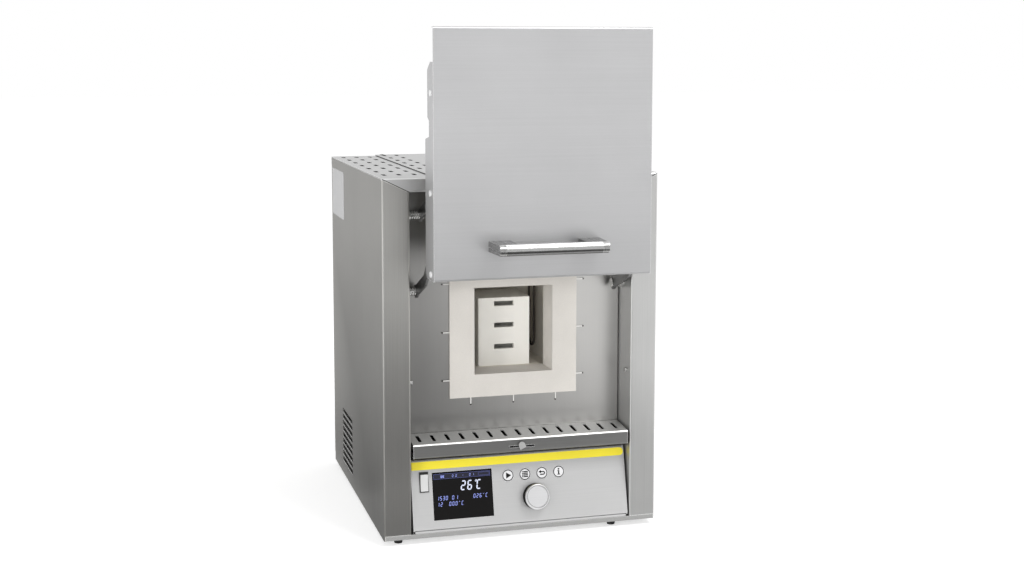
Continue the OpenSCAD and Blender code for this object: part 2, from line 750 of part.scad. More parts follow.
module exhaust_stub() {
    wall = 1.5;
    placed() color(bright_steel) translate([0, pipe_y, cover_z + cover_t]) difference() {
        cylinder(r = stub_r, h = stub_h);
        translate([0, 0, -cut]) cylinder(r = stub_r - wall, h = stub_h + 2*cut);
    }
}
module stub_ring() {
    ring_t = 2;
    ring_r = stub_r + 14;
    screw_r = ring_r - 6;
    placed() color(light_steel) translate([0, pipe_y, cover_z + cover_t]) {
        difference() {
            cylinder(r = ring_r, h = ring_t);
            translate([0, 0, -cut]) cylinder(r = stub_r + 0.05, h = ring_t + 2*cut);
        }
        for (a = [45:90:315]) rotate(a) translate([screw_r, 0, ring_t]) cylinder(r = 3.2, h = 1.6, $fn = 24);
    }
}

// Saggars standing on the hearth.
saggar_front = chamber_y + 6;
module saggar(level) {
    notch_w = 28.6;
    notch_h = 7;
    floor_t = 5;
    placed() color(saggar_white) translate([0, saggar_front, mouth_z + level*saggar_h]) difference() {
        translate([-saggar_w/2, 0, 0]) cube([saggar_w, saggar_w, saggar_h]);
        translate([-saggar_w/2 + saggar_t, saggar_t, floor_t])
            cube([saggar_w - 2*saggar_t, saggar_w - 2*saggar_t, saggar_h]);
        translate([-notch_w/2, -cut, saggar_h - notch_h]) cube([notch_w, saggar_w + 2*cut, notch_h + cut]);
    }
}
module lower_saggar() { saggar(0); }
module middle_saggar() { saggar(1); }
module upper_saggar() { saggar(2); }
module saggar_lid() {
    placed() color(saggar_white) translate([-saggar_w/2, saggar_front, mouth_z + 3*saggar_h])
        cube([saggar_w, saggar_w, lid_t]);
}

// Door, drawn open.
flange_back = 46.5;
module door_place() { translate([0, door_y, door_z]) children(); }
module flange_outline() {
    polygon([[1, 0], [flange_back - 6, 0], [flange_back, 6], [flange_back, 178], [24.9, 182],
        [24.9, 202], [33.5, 206], [33.5, 266], [16.5, 276], [1, 276]]);
}
module door_skin() {
    m = sheet_t/2;
    fold = 14;
    placed() color(light_steel) door_place() {
        // Face with its top and bottom folds.
        difference() {
            across(-door_half) folded([[fold, m], [m, m], [m, door_h - m], [fold, door_h - m]], door_w);
            both_sides()
                box(door_half - flange_t - seam, door_half + cut, bend_r + m, fold + cut, -cut, door_h + cut);
        }
        both_sides() translate([door_half - flange_t, 0, 0]) rotate([90, 0, 90]) linear_extrude(flange_t)
            flange_outline();
    }
}
module door_back_plate() {
    placed() color(steel) door_place() {
        box(-back_half, back_half, plate_gap, plate_gap + sheet_t, back_low, door_h - back_top);
        both_sides()
            box(back_half - sheet_t, back_half, sheet_t + 0.1, plate_gap, back_low, door_h - back_top);
    }
}
back_low = 14;
back_top = 28;
module door_insulation() {
    plug_w = collar_w - 4;
    plug_h = collar_h - 4;
    plug_z = mouth_mid_z - shut_z;
    back = collar_y - 0.8;
    placed() color(fibre) door_place() {
        box(-plug_w/2, plug_w/2, plate_gap + sheet_t, back, plug_z - plug_h/2, plug_z + plug_h/2);
        box(-back_half + 4, back_half - 4, sheet_t + 0.1, plate_gap, back_low + 4, door_h - back_top - 4);
    }
}
cap_len = 8.5;
grip_half = bar_len/2 - cap_len;
module handle_bar() {
    placed() color(bright_steel) rod_x(-grip_half, grip_half, bar_y, bar_z, bar_r);
}
module handle_posts() {
    post_wide = 26;
    flare = 2.5;
    half_h = bar_r*0.93;
    start_y = bar_y + bar_r*0.3;
    end = bar_len/2;
    placed() color(bright_steel) both_sides() {
        difference() {
            translate([0, 0, bar_z - half_h]) linear_extrude(2*half_h) polygon([[end - post_wide, start_y],
                [end, start_y], [end + flare, door_y - 0.02], [end - post_wide, door_y - 0.02]]);
            rod_x(end - post_wide - cut, grip_half + 0.02, bar_y, bar_z, bar_r + 0.05);
        }
        rod_x(grip_half + 0.02, end, bar_y, bar_z, bar_r);
    }
}
module door_screws() {
    spots = [[15, 8], [16, 111], [12.5, 237]];
    head_r = 4;
    head_t = 1.6;
    placed() color(bright_steel) door_place() both_sides() for (p = spots)
        rod_x(door_half, door_half + head_t, p[0], p[1], head_r);
}
module door_pin(x0, z) {
    head = 2.2;
    rod_x(x0 - pin_gap, door_half - flange_t, door_pin_y, z, pin_r);
    rod_x(x0 - pin_gap - head, x0 - pin_gap, door_pin_y, z, pin_r + 2.6);
    rod_x(x0 + arm_t + pin_gap, door_half - flange_t, door_pin_y, z, pin_r + 2);
}
module door_pins() {
    placed() color(bright_steel) both_sides() {
        door_pin(arm_x, door_pin_z);
        door_pin(upper_x, door_pin_z + pivot_rise);
    }
}

// Arms: a knee keeps them clear of the door's lower edge.
knee_len = 62;
knee_drop = 13;
module arm_outline(tip_play) {
    knee = [-knee_len*cos(arm_open - knee_drop), knee_len*sin(arm_open - knee_drop)];
    tip = [-arm_len*cos(arm_open), arm_len*sin(arm_open)];
    difference() {
        union() {
            bar([0, 0], knee);
            bar(knee, tip);
            translate(knee) circle(d = arm_w);
            circle(r = arm_w/2 + 1.5);
            translate(tip) circle(r = arm_w/2 + 1.5);
        }
        circle(r = pin_r + pin_play);
        translate(tip) circle(r = pin_r + tip_play);
    }
}
module bar(a, b) {
    d = b - a;
    translate(a) rotate(atan2(d[1], d[0])) translate([0, -arm_w/2]) square([norm(d), arm_w]);
}
module arm_pair(x0, rise, tip_play) {
    placed() color([0.45, 0.45, 0.45]) both_sides() translate([x0, pivot_y, lower_pivot_z + rise])
        rotate([90, 0, 90]) linear_extrude(arm_t) arm_outline(tip_play);
}
module lower_arms() { arm_pair(arm_x, 0, pin_play); }
module upper_arms() { arm_pair(upper_x, pivot_rise, free_play); }
module arm_shaft(x0, z) {
    rod_x(x0 - pin_gap, wall_x, pivot_y, z, pin_r);
    rod_x(x0 - pin_gap - shaft_head, x0 - pin_gap, pivot_y, z, pin_r + 2.5);
    // Spacer washers between arm and wall.
    for (x = [x0 + arm_t + pin_gap:3.2:wall_x - 2]) rod_x(x, x + 1.4, pivot_y, z, pin_r + 2.2);
}
module arm_shafts() {
    placed() color(bright_steel) both_sides() {
        arm_shaft(arm_x, lower_pivot_z);
        arm_shaft(upper_x, lower_pivot_z + pivot_rise);
    }
}
module wall_stop() {
    y = 12.3;
    z = 220.9;
    reach = 3;
    head_t = 1.2;
    placed() color(bright_steel) both_sides() {
        rod_x(wall_x - reach, wall_x, y, z, 2.4);
        rod_x(wall_x - reach - head_t, wall_x - reach, y, z, 3.4);
    }
}

// Rear fittings and what the case holds under the chamber.
module mains_inlet() {
    depth = 22;
    wall = 3;
    floor_t = 4;
    flange = 3.5;
    flange_out = 2.4;
    pin_w = 2;
    pin_h = 6;
    half = [inlet_w/2 - seam, inlet_h/2 - seam];
    open = [inlet_w/2 - wall, inlet_h/2 - wall];
    placed() color(black) difference() {
        union() {
            box(inlet_x - inlet_w/2 - flange, inlet_x + inlet_w/2 + flange, case_d, case_d + flange_out,
                inlet_z - inlet_h/2 - flange, inlet_z + inlet_h/2 + flange);
            box(inlet_x - half[0], inlet_x + half[0], case_d - depth, case_d,
                inlet_z - half[1], inlet_z + half[1]);
        }
        box(inlet_x - open[0], inlet_x + open[0], case_d - depth + floor_t, case_d + floor_t,
            inlet_z - open[1], inlet_z + open[1]);
    }
    placed() color(bright_steel) for (x = [-7, 0, 7]) translate([inlet_x + x, 0, inlet_z + abs(x)/4])
        box(-pin_w/2, pin_w/2, case_d - depth + floor_t, case_d - 5, -pin_h/2, pin_h/2);
}
frame_depth = 25;
module fan_frame() {
    y1 = rear_y - seam;
    y0 = y1 - frame_depth;
    half = fan_r + 2;
    placed() color(black) difference() {
        box(fan_x - half, fan_x + half, y0, y1, fan_z - half, fan_z + half);
        difference() {
            rod_y(y0 - cut, y1 + cut, fan_x, fan_z, fan_r);
            rod_y(y0 - 2*cut, y0 + 5, fan_x, fan_z, 13);
            for (a = [0:90:270]) translate([fan_x, y0 - cut, fan_z]) rotate([0, a + 20, 0])
                translate([0, 0, -1.5]) cube([fan_r + 1, 3 + cut, 3]);
        }
        rod_y(y0 - 3*cut, y1 + cut, fan_x, fan_z, 2.2);
        fan_bolts() rod_y(y0 - cut, y1 + cut, 0, 0, 1.9);
    }
}
module fan_rotor() {
    hub_r = 14;
    blade_t = 1.8;
    y1 = rear_y - seam - 2;
    placed() color([0.15, 0.15, 0.16]) translate([fan_x, y1, fan_z]) rotate([90, 0, 0]) {
        cylinder(r = hub_r, h = 16);
        cylinder(r = 1.9, h = 21.4);
        for (k = [0:blade_count - 1]) rotate(k*360/blade_count) translate([hub_r - 1, 0, 8])
            rotate([38, 0, 0]) translate([0, -7, -blade_t/2]) cube([fan_r - hub_r - 1, 14, blade_t]);
    }
}
module fan_guard() {
    wire = guard_t/2;
    weld = 0.2;
    bolt_r = norm([bolt_square, bolt_square]);
    placed() color(bright_steel) translate([fan_x, case_d + guard_t, fan_z]) rotate([90, 0, 0]) {
        for (r = [10:7:fan_r + 1]) rotate_extrude() translate([r - wire/2, 0]) square([wire, wire + weld]);
        difference() {
            for (a = [45:90:315]) rotate(a) {
                translate([0, -wire, wire]) cube([bolt_r, 2*wire, wire]);
                translate([bolt_r, 0, wire]) cylinder(r = 3.6, h = wire, $fn = 32);
            }
            for (a = [45:90:315]) rotate(a) translate([bolt_r, 0, -cut])
                cylinder(r = 1.9, h = guard_t + 2*cut, $fn = 24);
        }
    }
    placed() color(bright_steel) fan_bolts() {
        rod_y(case_d - 20, case_d + guard_t - wire + 0.5, 0, 0, 1.7);
        rod_y(case_d + guard_t - wire + 0.05, case_d + guard_t - wire + 1.6, 0, 0, 3);
    }
}
module transformer() {
    x = 30;
    y = 210;
    z = foot_h + sheet_t;
    core = [100, 60, 84];
    window = [18, 48];
    coil_out = 12;
    gap = 0.5;
    z_window = z + (core[2] - window[1])/2;
    placed() color([0.35, 0.35, 0.36]) difference() {
        box(x - core[0]/2, x + core[0]/2, y - core[1]/2, y + core[1]/2, z, z + core[2]);
        for (s = [-1, 1]) box(x + s*core[0]/4 - window[0]/2, x + s*core[0]/4 + window[0]/2,
            y - core[1]/2 - cut, y + core[1]/2 + cut, z_window, z_window + window[1]);
    }
    placed() color(copper) for (s = [-1, 1]) difference() {
        box(x + s*core[0]/4 - window[0]/2 + gap, x + s*core[0]/4 + window[0]/2 - gap,
            y - core[1]/2 - coil_out, y + core[1]/2 + coil_out, z_window + gap, z_window + window[1] - gap);
        box(x + s*core[0]/4 - window[0]/2, x + s*core[0]/4 + window[0]/2,
            y - core[1]/2 - gap, y + core[1]/2 + gap, z_window, z_window + window[1]);
    }
}
module power_board() {
    z = foot_h + sheet_t;
    board_t = 1.6;
    stand_h = 10;
    board_w = 80;
    board_d = 126;
    x0 = -130;
    y0 = body_y1 - leg_back + leg_w + 4;
    top = z + stand_h + board_t;
    placed() color(board_green) {
        box(x0, x0 + board_w, y0, y0 + board_d, z + stand_h, top);
        for (x = [x0 + 6, x0 + board_w - 6], y = [y0 + 8, y0 + board_d - 8])
            translate([x, y, z]) cylinder(r = 3, h = stand_h, $fn = 24);
        // Heat sink, capacitor and relay.
        box(x0 + 10, x0 + 38, y0 + 20, y0 + board_d - 20, top, top + 28.4);
        box(x0 + 46, x0 + 66, y0 + 20, y0 + 44, top, top + 18.4);
        box(x0 + 46, x0 + 66, y0 + 60, y0 + 100, top, top + 14.4);
    }
}
module case_screws() {
    head_r = 3.4;
    head_t = 1.5;
    inset = 8;
    rear_z = [40, 160, 280, 400, 470];
    placed() color(bright_steel) {
        both_sides() for (z = rear_z) rod_y(case_d, case_d + head_t, half_w - inset, z, head_r);
        both_sides() for (y = [40, case_d - 20]) translate([cover_half - inset, y, cover_z + cover_t])
            cylinder(r = head_r, h = head_t, $fn = 24);
    }
}

base_pan();
feet();
left_side_panel();
right_side_panel();
roof_panel();
roof_cover();
rear_panel();
recess_plate();
air_shelf();
air_lever();
control_panel();
panel_stripe();
display_lens();
display_module();
rocker_frame();
rocker_button();
start_key();
menu_key();
back_key();
info_key();
control_board();
encoder();
control_knob();
mouth_collar();
left_insulation();
right_insulation();
roof_insulation();
floor_insulation();
rear_insulation();
inner_casing();
collar_staples();
heating_rods();
rod_clamps();
thermocouple();
exhaust_pipe();
exhaust_stub();
stub_ring();
lower_saggar();
middle_saggar();
upper_saggar();
saggar_lid();
door_skin();
door_back_plate();
door_insulation();
handle_bar();
handle_posts();
door_screws();
door_pins();
lower_arms();
upper_arms();
arm_shafts();
wall_stop();
mains_inlet();
fan_frame();
fan_rotor();
fan_guard();
transformer();
power_board();
case_screws();
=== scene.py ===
"""Looks of the dental sintering furnace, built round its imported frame."""

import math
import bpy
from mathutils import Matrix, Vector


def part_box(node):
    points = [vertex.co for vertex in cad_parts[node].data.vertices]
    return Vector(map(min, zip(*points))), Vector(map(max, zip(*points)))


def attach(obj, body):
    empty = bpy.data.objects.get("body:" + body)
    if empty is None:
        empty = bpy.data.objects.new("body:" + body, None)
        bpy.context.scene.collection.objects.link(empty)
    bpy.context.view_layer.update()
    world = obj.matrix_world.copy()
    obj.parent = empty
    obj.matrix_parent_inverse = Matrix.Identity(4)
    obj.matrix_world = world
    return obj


bl_info = {
    "name": "Dental Sintering Furnace",
    "version": (1, 0, 0),
    "blender": (4, 5, 0),
    "location": "View3D > Sidebar > Furnace",
    "description": "Gives the furnace its finishes, prints, fastener detail and studio",
    "category": "Object",
}

import bmesh
import bpy
from bpy.props import FloatProperty, FloatVectorProperty, IntProperty, PointerProperty
from mathutils import Matrix, Vector

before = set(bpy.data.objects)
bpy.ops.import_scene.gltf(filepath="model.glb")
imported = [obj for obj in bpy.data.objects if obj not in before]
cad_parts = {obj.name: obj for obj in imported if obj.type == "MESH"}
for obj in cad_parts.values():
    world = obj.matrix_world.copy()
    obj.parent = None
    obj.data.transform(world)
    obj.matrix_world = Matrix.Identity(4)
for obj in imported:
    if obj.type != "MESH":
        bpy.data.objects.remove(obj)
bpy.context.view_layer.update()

ACROSS, BACK, UP = (1, 0, 0), (0, 1, 0), (0, 0, 1)
DIAGONAL = math.sqrt(0.5)

# The case's front plane, which case_point counts back from.
FRONT_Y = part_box("base_pan")[0].y

# The case, in millimetres: half its width, half its opening, the shelf's height and the mouth's middle.
CASE_HALF = 192.5
OPENING_HALF = 155
SHELF_Z = 137.6
MOUTH_Z = 278.9

# The control panel's slope, its lower edge in the case, and the knob's and keys' places up the slope, in millimetres.
PANEL_TILT = math.radians(13.1)
PANEL_FOOT = (0, -1, 19)
KNOB_PLACE = (19.6, 34.4)
FIRST_KEY = (-17.3, 65.1)
KEY_PITCH = 24.3
KEY_RISE = 0.6

# The slots in each side, in metres; they run back, and their middle is VENT_BACK behind the front.
VENT_COUNT = 9
VENT_PITCH = 0.0096
VENT_LENGTH = 0.0860
VENT_WIDTH = 0.0036
VENT_BACK = 0.296
VENT_LOWEST = 0.0323


def case_point(x, y, z):
    """A point given in millimetres from the case's front, centre and floor."""
    return Vector((x / 1000, FRONT_Y + y / 1000, z / 1000))


# Turns a prism's outline, drawn in X and Y, to lie in Y and Z, so that it runs along X.
ALONG_X = Matrix(((0, 0, 1, 0), (1, 0, 0, 0), (0, 1, 0, 0), (0, 0, 0, 1)))
# Stands an outline up on the case's front plane, with its thickness to the front.
ON_FRONT = Matrix.Translation((0, FRONT_Y, 0)) @ Matrix(((1, 0, 0, 0), (0, 0, -1, 0), (0, 1, 0, 0), (0, 0, 0, 1)))


def panel_matrix(x=0.0, up=0.0, out=0.0):
    """Frame on the control panel's face: X across, Y up the slope, Z out of it, moved in millimetres."""
    across = Vector((1, 0, 0))
    slope = Vector((0, math.sin(PANEL_TILT), math.cos(PANEL_TILT)))
    normal = across.cross(slope)
    origin = case_point(*PANEL_FOOT) + (across * x + slope * up + normal * out) / 1000
    turn = Matrix((across, slope, normal)).transposed().to_4x4()
    return Matrix.Translation(origin) @ turn


def srgb(red, green, blue):
    """Linear colour of a tone read from 0 to 255."""

    def linear(value):
        value /= 255
        return value / 12.92 if value <= 0.04045 else ((value + 0.055) / 1.055) ** 2.4

    return (linear(red), linear(green), linear(blue))


class FinishSettings(bpy.types.PropertyGroup):
    side_steel: FloatVectorProperty(
        name="Side steel", description="Tone of the brushed side panels", subtype="COLOR",
        size=3, min=0, max=1, default=srgb(166, 165, 162))
    # The right panel is painted lighter than the left: painted light where it faces the lamp.
    right_lit_steel: FloatVectorProperty(
        name="Right side steel", description="Tone of the right side panel, which faces the light", subtype="COLOR",
        size=3, min=0, max=1, default=srgb(184, 184, 183))
    plate_steel: FloatVectorProperty(
        name="Plate steel", description="Tone of the recess plate behind the door", subtype="COLOR",
        size=3, min=0, max=1, default=srgb(176, 175, 173))
    door_steel: FloatVectorProperty(
        name="Door steel", description="Tone of the door's fine satin skin", subtype="COLOR",
        size=3, min=0, max=1, default=srgb(185, 185, 186))
    roof_steel: FloatVectorProperty(
        name="Roof steel", description="Tone of the roof and its raised cover", subtype="COLOR",
        size=3, min=0, max=1, default=srgb(188, 188, 188))
    panel_grey: FloatVectorProperty(
        name="Panel grey", description="Tone of the control panel's sheet", subtype="COLOR",
        size=3, min=0, max=1, default=srgb(190, 190, 190))
    stripe: FloatVectorProperty(
        name="Stripe", description="Colour of the stripe along the panel's top", subtype="COLOR",
        size=3, min=0, max=1, default=srgb(243, 226, 52))
    fibre: FloatVectorProperty(
        name="Fibre board", description="Colour of the insulation round the mouth", subtype="COLOR",
        size=3, min=0, max=1, default=srgb(213, 209, 203))
    ceramic: FloatVectorProperty(
        name="Saggar ceramic", description="Colour of the saggars and their lid", subtype="COLOR",
        size=3, min=0, max=1, default=srgb(239, 237, 231))
    grain: FloatProperty(
        name="Brush grain", description="Strength of the brushed grain in the sheets",
        default=0.5, min=0, max=1, subtype="FACTOR")
    # Width of the painted highlight along bends and edges.
    edge_highlight: FloatProperty(
        name="Edge shine", description="Width over which bends and edges are rubbed bright", default=0.0013,
        min=0, max=0.004, unit="LENGTH")
    edge_round: FloatProperty(
        name="Edge rounding", description="Radius of the deburred sheet edges", default=0.0004,
        min=0.0001, max=0.001, unit="LENGTH")


class DetailSettings(bpy.types.PropertyGroup):
    print_height: FloatProperty(
        name="Print thickness", description="Thickness of printed rings and symbols",
        default=0.00008, min=0.00002, max=0.0005, unit="LENGTH")
    large_digit: FloatProperty(
        name="Large digit height", description="Height of the temperature on the display",
        default=0.0132, min=0.006, max=0.02, unit="LENGTH")
    small_digit: FloatProperty(
        name="Small digit height", description="Height of the smaller figures on the display",
        default=0.0057, min=0.003, max=0.01, unit="LENGTH")
    ring_width: FloatProperty(
        name="Key ring width", description="Width of the printed ring round each key",
        default=0.0011, min=0.0003, max=0.002, unit="LENGTH")
    plate_width: FloatProperty(
        name="Side plate width", description="Width of the blank plate on the left side",
        default=0.108, min=0.04, max=0.16, unit="LENGTH")
    plate_height: FloatProperty(
        name="Side plate height", description="Height of the blank plate on the left side",
        default=0.072, min=0.03, max=0.12, unit="LENGTH")


class StageSettings(bpy.types.PropertyGroup):
    lens: FloatProperty(
        name="Lens", description="Focal length on a 36 mm sensor", default=51.66, min=20, max=120)
    yaw: FloatProperty(
        name="Yaw", description="Camera's turn to the right of straight back",
        default=math.radians(15.267), subtype="ANGLE")
    pitch: FloatProperty(
        name="Pitch", description="Camera's tilt, negative looks down",
        default=math.radians(-6.167), subtype="ANGLE")
    world_light: FloatProperty(
        name="World light", description="Strength of the even light all round", default=0.64, min=0, max=2)
    key_light: FloatProperty(
        name="Key light", description="Power of the large soft lamp, in watts", default=50, min=0, max=500)
    front_light: FloatProperty(
        name="Front light", description="Power of the lamp that reaches into the chamber, in watts",
        default=18, min=0, max=500)
    side_light: FloatProperty(
        name="Side light", description="Power of the lamp on the left, in watts", default=20, min=0, max=500)


def empty_tree(owner):
    """The node tree of a material or world, emptied."""
    owner.use_nodes = True
    owner.node_tree.nodes.clear()
    return owner.node_tree


def new_material(name):
    """A node material with a Principled shader and nothing else."""
    material = bpy.data.materials.new(name)
    tree = empty_tree(material)
    output = tree.nodes.new("ShaderNodeOutputMaterial")
    shader = tree.nodes.new("ShaderNodeBsdfPrincipled")
    tree.links.new(shader.outputs[0], output.inputs[0])
    return material, tree, shader


def set_inputs(node, values):
    for name, value in values.items():
        node.inputs[name].default_value = value


def combined(tree, kind, operation, first, second):
    """A math or vector math node on two values, each a socket or a constant."""
    node = tree.nodes.new(kind)
    node.operation = operation
    for value, place in zip((first, second), node.inputs):
        if isinstance(value, bpy.types.NodeSocket):
            tree.links.new(value, place)
        else:
            place.default_value = value
    return node


def maths(tree, operation, first, second):
    return combined(tree, "ShaderNodeMath", operation, first, second).outputs[0]


def vectors(tree, operation, first, second=(0, 0, 0), output="Vector"):
    return combined(tree, "ShaderNodeVectorMath", operation, first, second).outputs[output]


def object_place(tree):
    return tree.nodes.new("ShaderNodeTexCoord").outputs["Object"]


def along_axis(tree, axis):
    """Distance along one direction of the object, in metres."""
    return vectors(tree, "DOT_PRODUCT", object_place(tree), axis, "Value")


def from_line(tree, point, across):
    """Distance from a line through a point; across is 0 along the line and 1 on the other axes."""
    offset = vectors(tree, "SUBTRACT", object_place(tree), point)
    return vectors(tree, "LENGTH", vectors(tree, "MULTIPLY", offset, across), output="Value")


def noise(tree, scale, detail=3.0, roughness=0.5, stretch=(1, 1, 1)):
    """Noise over the object's space in metres, squeezed by stretch on each axis."""
    mapping = tree.nodes.new("ShaderNodeMapping")
    mapping.inputs["Scale"].default_value = stretch
    tree.links.new(object_place(tree), mapping.inputs["Vector"])
    node = tree.nodes.new("ShaderNodeTexNoise")
    set_inputs(node, {"Scale": scale, "Detail": detail, "Roughness": roughness})
    tree.links.new(mapping.outputs["Vector"], node.inputs["Vector"])
    return node.outputs["Fac"]


def spread(tree, value, low, high, start=0.3, end=0.7):
    """A noise value spread between two numbers."""
    node = tree.nodes.new("ShaderNodeMapRange")
    set_inputs(node, {"From Min": start, "From Max": end, "To Min": low, "To Max": high})
    tree.links.new(value, node.inputs["Value"])
    return node.outputs["Result"]


def times(tree, first, second):
    return maths(tree, "MULTIPLY", first, second)


def pit_shade(tree, top, low, high):
    """Painted shade inside holes: 0.1 below the top face between two corners, where only the walls of its holes lie,
    and 1 elsewhere.
    """
    shade = spread(tree, along_axis(tree, UP), 0.1, 1.0, top - 0.0005, top - 0.0001)
    for direction, edge, step in ((ACROSS, low[0], -0.001), (ACROSS, high[0], 0.001),
                                  (BACK, low[1], -0.001), (BACK, high[1], 0.001)):
        beyond = spread(tree, along_axis(tree, direction), 0.0, 1.0, edge, edge + step)
        shade = maths(tree, "MAXIMUM", shade, beyond)
    return shade


def tinted(tree, colour, factor):
    """The colour made lighter or darker by a factor near 1."""
    node = tree.nodes.new("ShaderNodeMix")
    node.data_type = "RGBA"
    node.blend_type = "MULTIPLY"
    set_inputs(node, {"Factor": 1.0, "A": (*colour, 1.0)})
    tree.links.new(factor, node.inputs["B"])
    return node.outputs["Result"]


def tint(tree, shader, colour, factor):
    """Gives a shader its base colour, made lighter or darker by a factor near 1."""
    tree.links.new(tinted(tree, colour, factor), shader.inputs["Base Color"])


def bumped(tree, shader, height, strength, distance):
    node = tree.nodes.new("ShaderNodeBump")
    set_inputs(node, {"Strength": strength, "Distance": distance})
    tree.links.new(height, node.inputs["Height"])
    tree.links.new(node.outputs["Normal"], shader.inputs["Normal"])


def edge_mask(tree, radius):
    """1 along bends and edges, and 0 on the flats between them."""
    rounded = tree.nodes.new("ShaderNodeBevel")
    rounded.samples = 6
    rounded.inputs["Radius"].default_value = radius
    flat = tree.nodes.new("ShaderNodeNewGeometry")
    likeness = vectors(tree, "DOT_PRODUCT", rounded.outputs["Normal"], flat.outputs["Normal"], "Value")
    return spread(tree, likeness, 1.0, 0.0, 0.75, 0.985)


# How much brighter a painted edge highlight is, and where a bend's painted highlight line ends, in metres from its
# corner.
HIGHLIGHT_GAIN = 2.1
BEND_HIGHLIGHT_REACH = (0.0015, 0.0021)


def brushed_steel(name, colour, roughness=0.36, along="Z", grain=0.5, metallic=0.9, edge=0.0,
                  falls=(), grazing=1.0, bends=(), pits=None):
    """Satin stainless sheet, brushed along one axis, with a cloudy polish.

    Edges get a painted highlight over the width edge, and grazing tints what is seen edge-on.
    Each ramp of painted light or shade changes the tone along a direction: (direction, from, to, tone at from, tone at
    to).
    Each bend highlight is a painted highlight along a corner: (point on it, 0 along it and 1 on the other axes, tone).
    Holes in pits, given as (top face, low corner, high corner), get painted shade inside.
    """
    material, tree, shader = new_material(name)
    stretch = {"X": (6, 900, 900), "Y": (900, 6, 900), "Z": (900, 900, 6)}[along]
    lines = noise(tree, 1.0, 2.0, 0.6, stretch=stretch)
    clouds = noise(tree, 9.0, 3.0, 0.55)
    tone = times(tree, spread(tree, lines, 1 - 0.10 * grain, 1 + 0.10 * grain), spread(tree, clouds, 0.975, 1.025))
    # Ramps of painted light and shade along directions.
    for direction, start, end, low, high in falls:
        tone = times(tree, tone, spread(tree, along_axis(tree, direction), low, high, start, end))
    # Painted highlight lines along bends.
    for point, across, bright in bends:
        reach = from_line(tree, point, across)
        tone = times(tree, tone, spread(tree, reach, bright, 1.0, BEND_HIGHLIGHT_REACH[0], BEND_HIGHLIGHT_REACH[1]))
    # Painted shade inside the holes.
    if pits:
        shade = pit_shade(tree, *pits)
        tone = times(tree, tone, shade)
    base = tinted(tree, colour, tone)
    # Painted highlight along the edges and bends that the bevel mask finds.
    if edge:
        highlighted = tree.nodes.new("ShaderNodeMix")
        highlighted.data_type = "RGBA"
        highlighted.inputs["B"].default_value = (*(min(1.0, value * HIGHLIGHT_GAIN) for value in colour), 1.0)
        mask = edge_mask(tree, edge)
        if pits:
            mask = times(tree, mask, spread(tree, shade, 0.0, 1.0, 0.2, 0.9))
        tree.links.new(mask, highlighted.inputs["Factor"])
        tree.links.new(base, highlighted.inputs["A"])
        base = highlighted.outputs["Result"]
    tree.links.new(base, shader.inputs["Base Color"])
    tree.links.new(spread(tree, lines, roughness - 0.1 * grain, roughness + 0.1 * grain), shader.inputs["Roughness"])
    set_inputs(shader, {"Metallic": metallic, "Specular Tint": (grazing, grazing, grazing, 1)})
    bumped(tree, shader, lines, 0.12 * grain, 0.0002)
    return material


def turned_steel(name, colour, roughness=0.2, metallic=1.0):
    """Bright machined steel with fine tool rings."""
    material, tree, shader = new_material(name)
    rings = noise(tree, 1.0, 2.0, stretch=(2500, 60, 60))
    tint(tree, shader, colour, spread(tree, rings, 0.95, 1.05))
    tree.links.new(spread(tree, rings, roughness - 0.04, roughness + 0.06), shader.inputs["Roughness"])
    shader.inputs["Metallic"].default_value = metallic
    bumped(tree, shader, rings, 0.05, 0.0002)
    return material


def painted(name, colour, roughness=0.5, peel=0.3, specular=0.5, coat=0.0):
    """Sprayed or moulded surface with a little orange peel."""
    material, tree, shader = new_material(name)
    skin = noise(tree, 1400.0, 2.0)
    clouds = noise(tree, 14.0, 2.0)
    tint(tree, shader, colour, spread(tree, clouds, 0.97, 1.03))
    tree.links.new(spread(tree, skin, roughness - 0.04, roughness + 0.05), shader.inputs["Roughness"])
    set_inputs(shader, {"Specular IOR Level": specular, "Coat Weight": coat, "Coat Roughness": 0.08})
    bumped(tree, shader, skin, 0.08 * peel, 0.0003)
    return material


def fibre_board(name, colour, depth=0.35):
    """Vacuum-formed ceramic fibre: matte, faintly mottled, with short fibres lying in it."""
    material, tree, shader = new_material(name)
    mottle = noise(tree, 22.0, 4.0, 0.6)
    felt = noise(tree, 520.0, 4.0, 0.7, stretch=(1, 1, 1.7))
    tone = times(tree, spread(tree, mottle, 0.965, 1.02), spread(tree, felt, 0.96, 1.03))
    tint(tree, shader, colour, tone)
    set_inputs(shader, {"Roughness": 0.93, "Specular IOR Level": 0.2})
    bumped(tree, shader, felt, depth, 0.0006)
    return material


def fired_ceramic(name, colour):
    """Dense sintering ceramic, smooth with sparse specks."""
    material, tree, shader = new_material(name)
    specks = noise(tree, 900.0, 2.0, 0.6)
    clouds = noise(tree, 30.0, 3.0)
    tone = times(tree, spread(tree, specks, 0.9, 1.0, 0.22, 0.32), spread(tree, clouds, 0.975, 1.015))
    tint(tree, shader, colour, tone)
    set_inputs(shader, {"Roughness": 0.72, "Specular IOR Level": 0.35})
    bumped(tree, shader, specks, 0.05, 0.0003)
    return material


def heated_rod(name):
    """Dark silicide rod with a greyer oxide skin in patches."""
    material, tree, shader = new_material(name)
    skin = noise(tree, 160.0, 4.0, 0.6, stretch=(1, 1, 0.4))
    tint(tree, shader, srgb(58, 54, 50), spread(tree, skin, 0.65, 1.35))
    shader.inputs["Roughness"].default_value = 0.55
    bumped(tree, shader, skin, 0.2, 0.0003)
    return material


def rubber(name):
    material, tree, shader = new_material(name)
    grain = noise(tree, 1100.0, 3.0)
    tint(tree, shader, srgb(34, 34, 34), spread(tree, grain, 0.85, 1.15))
    shader.inputs["Roughness"].default_value = 0.85
    bumped(tree, shader, grain, 0.25, 0.0002)
    return material


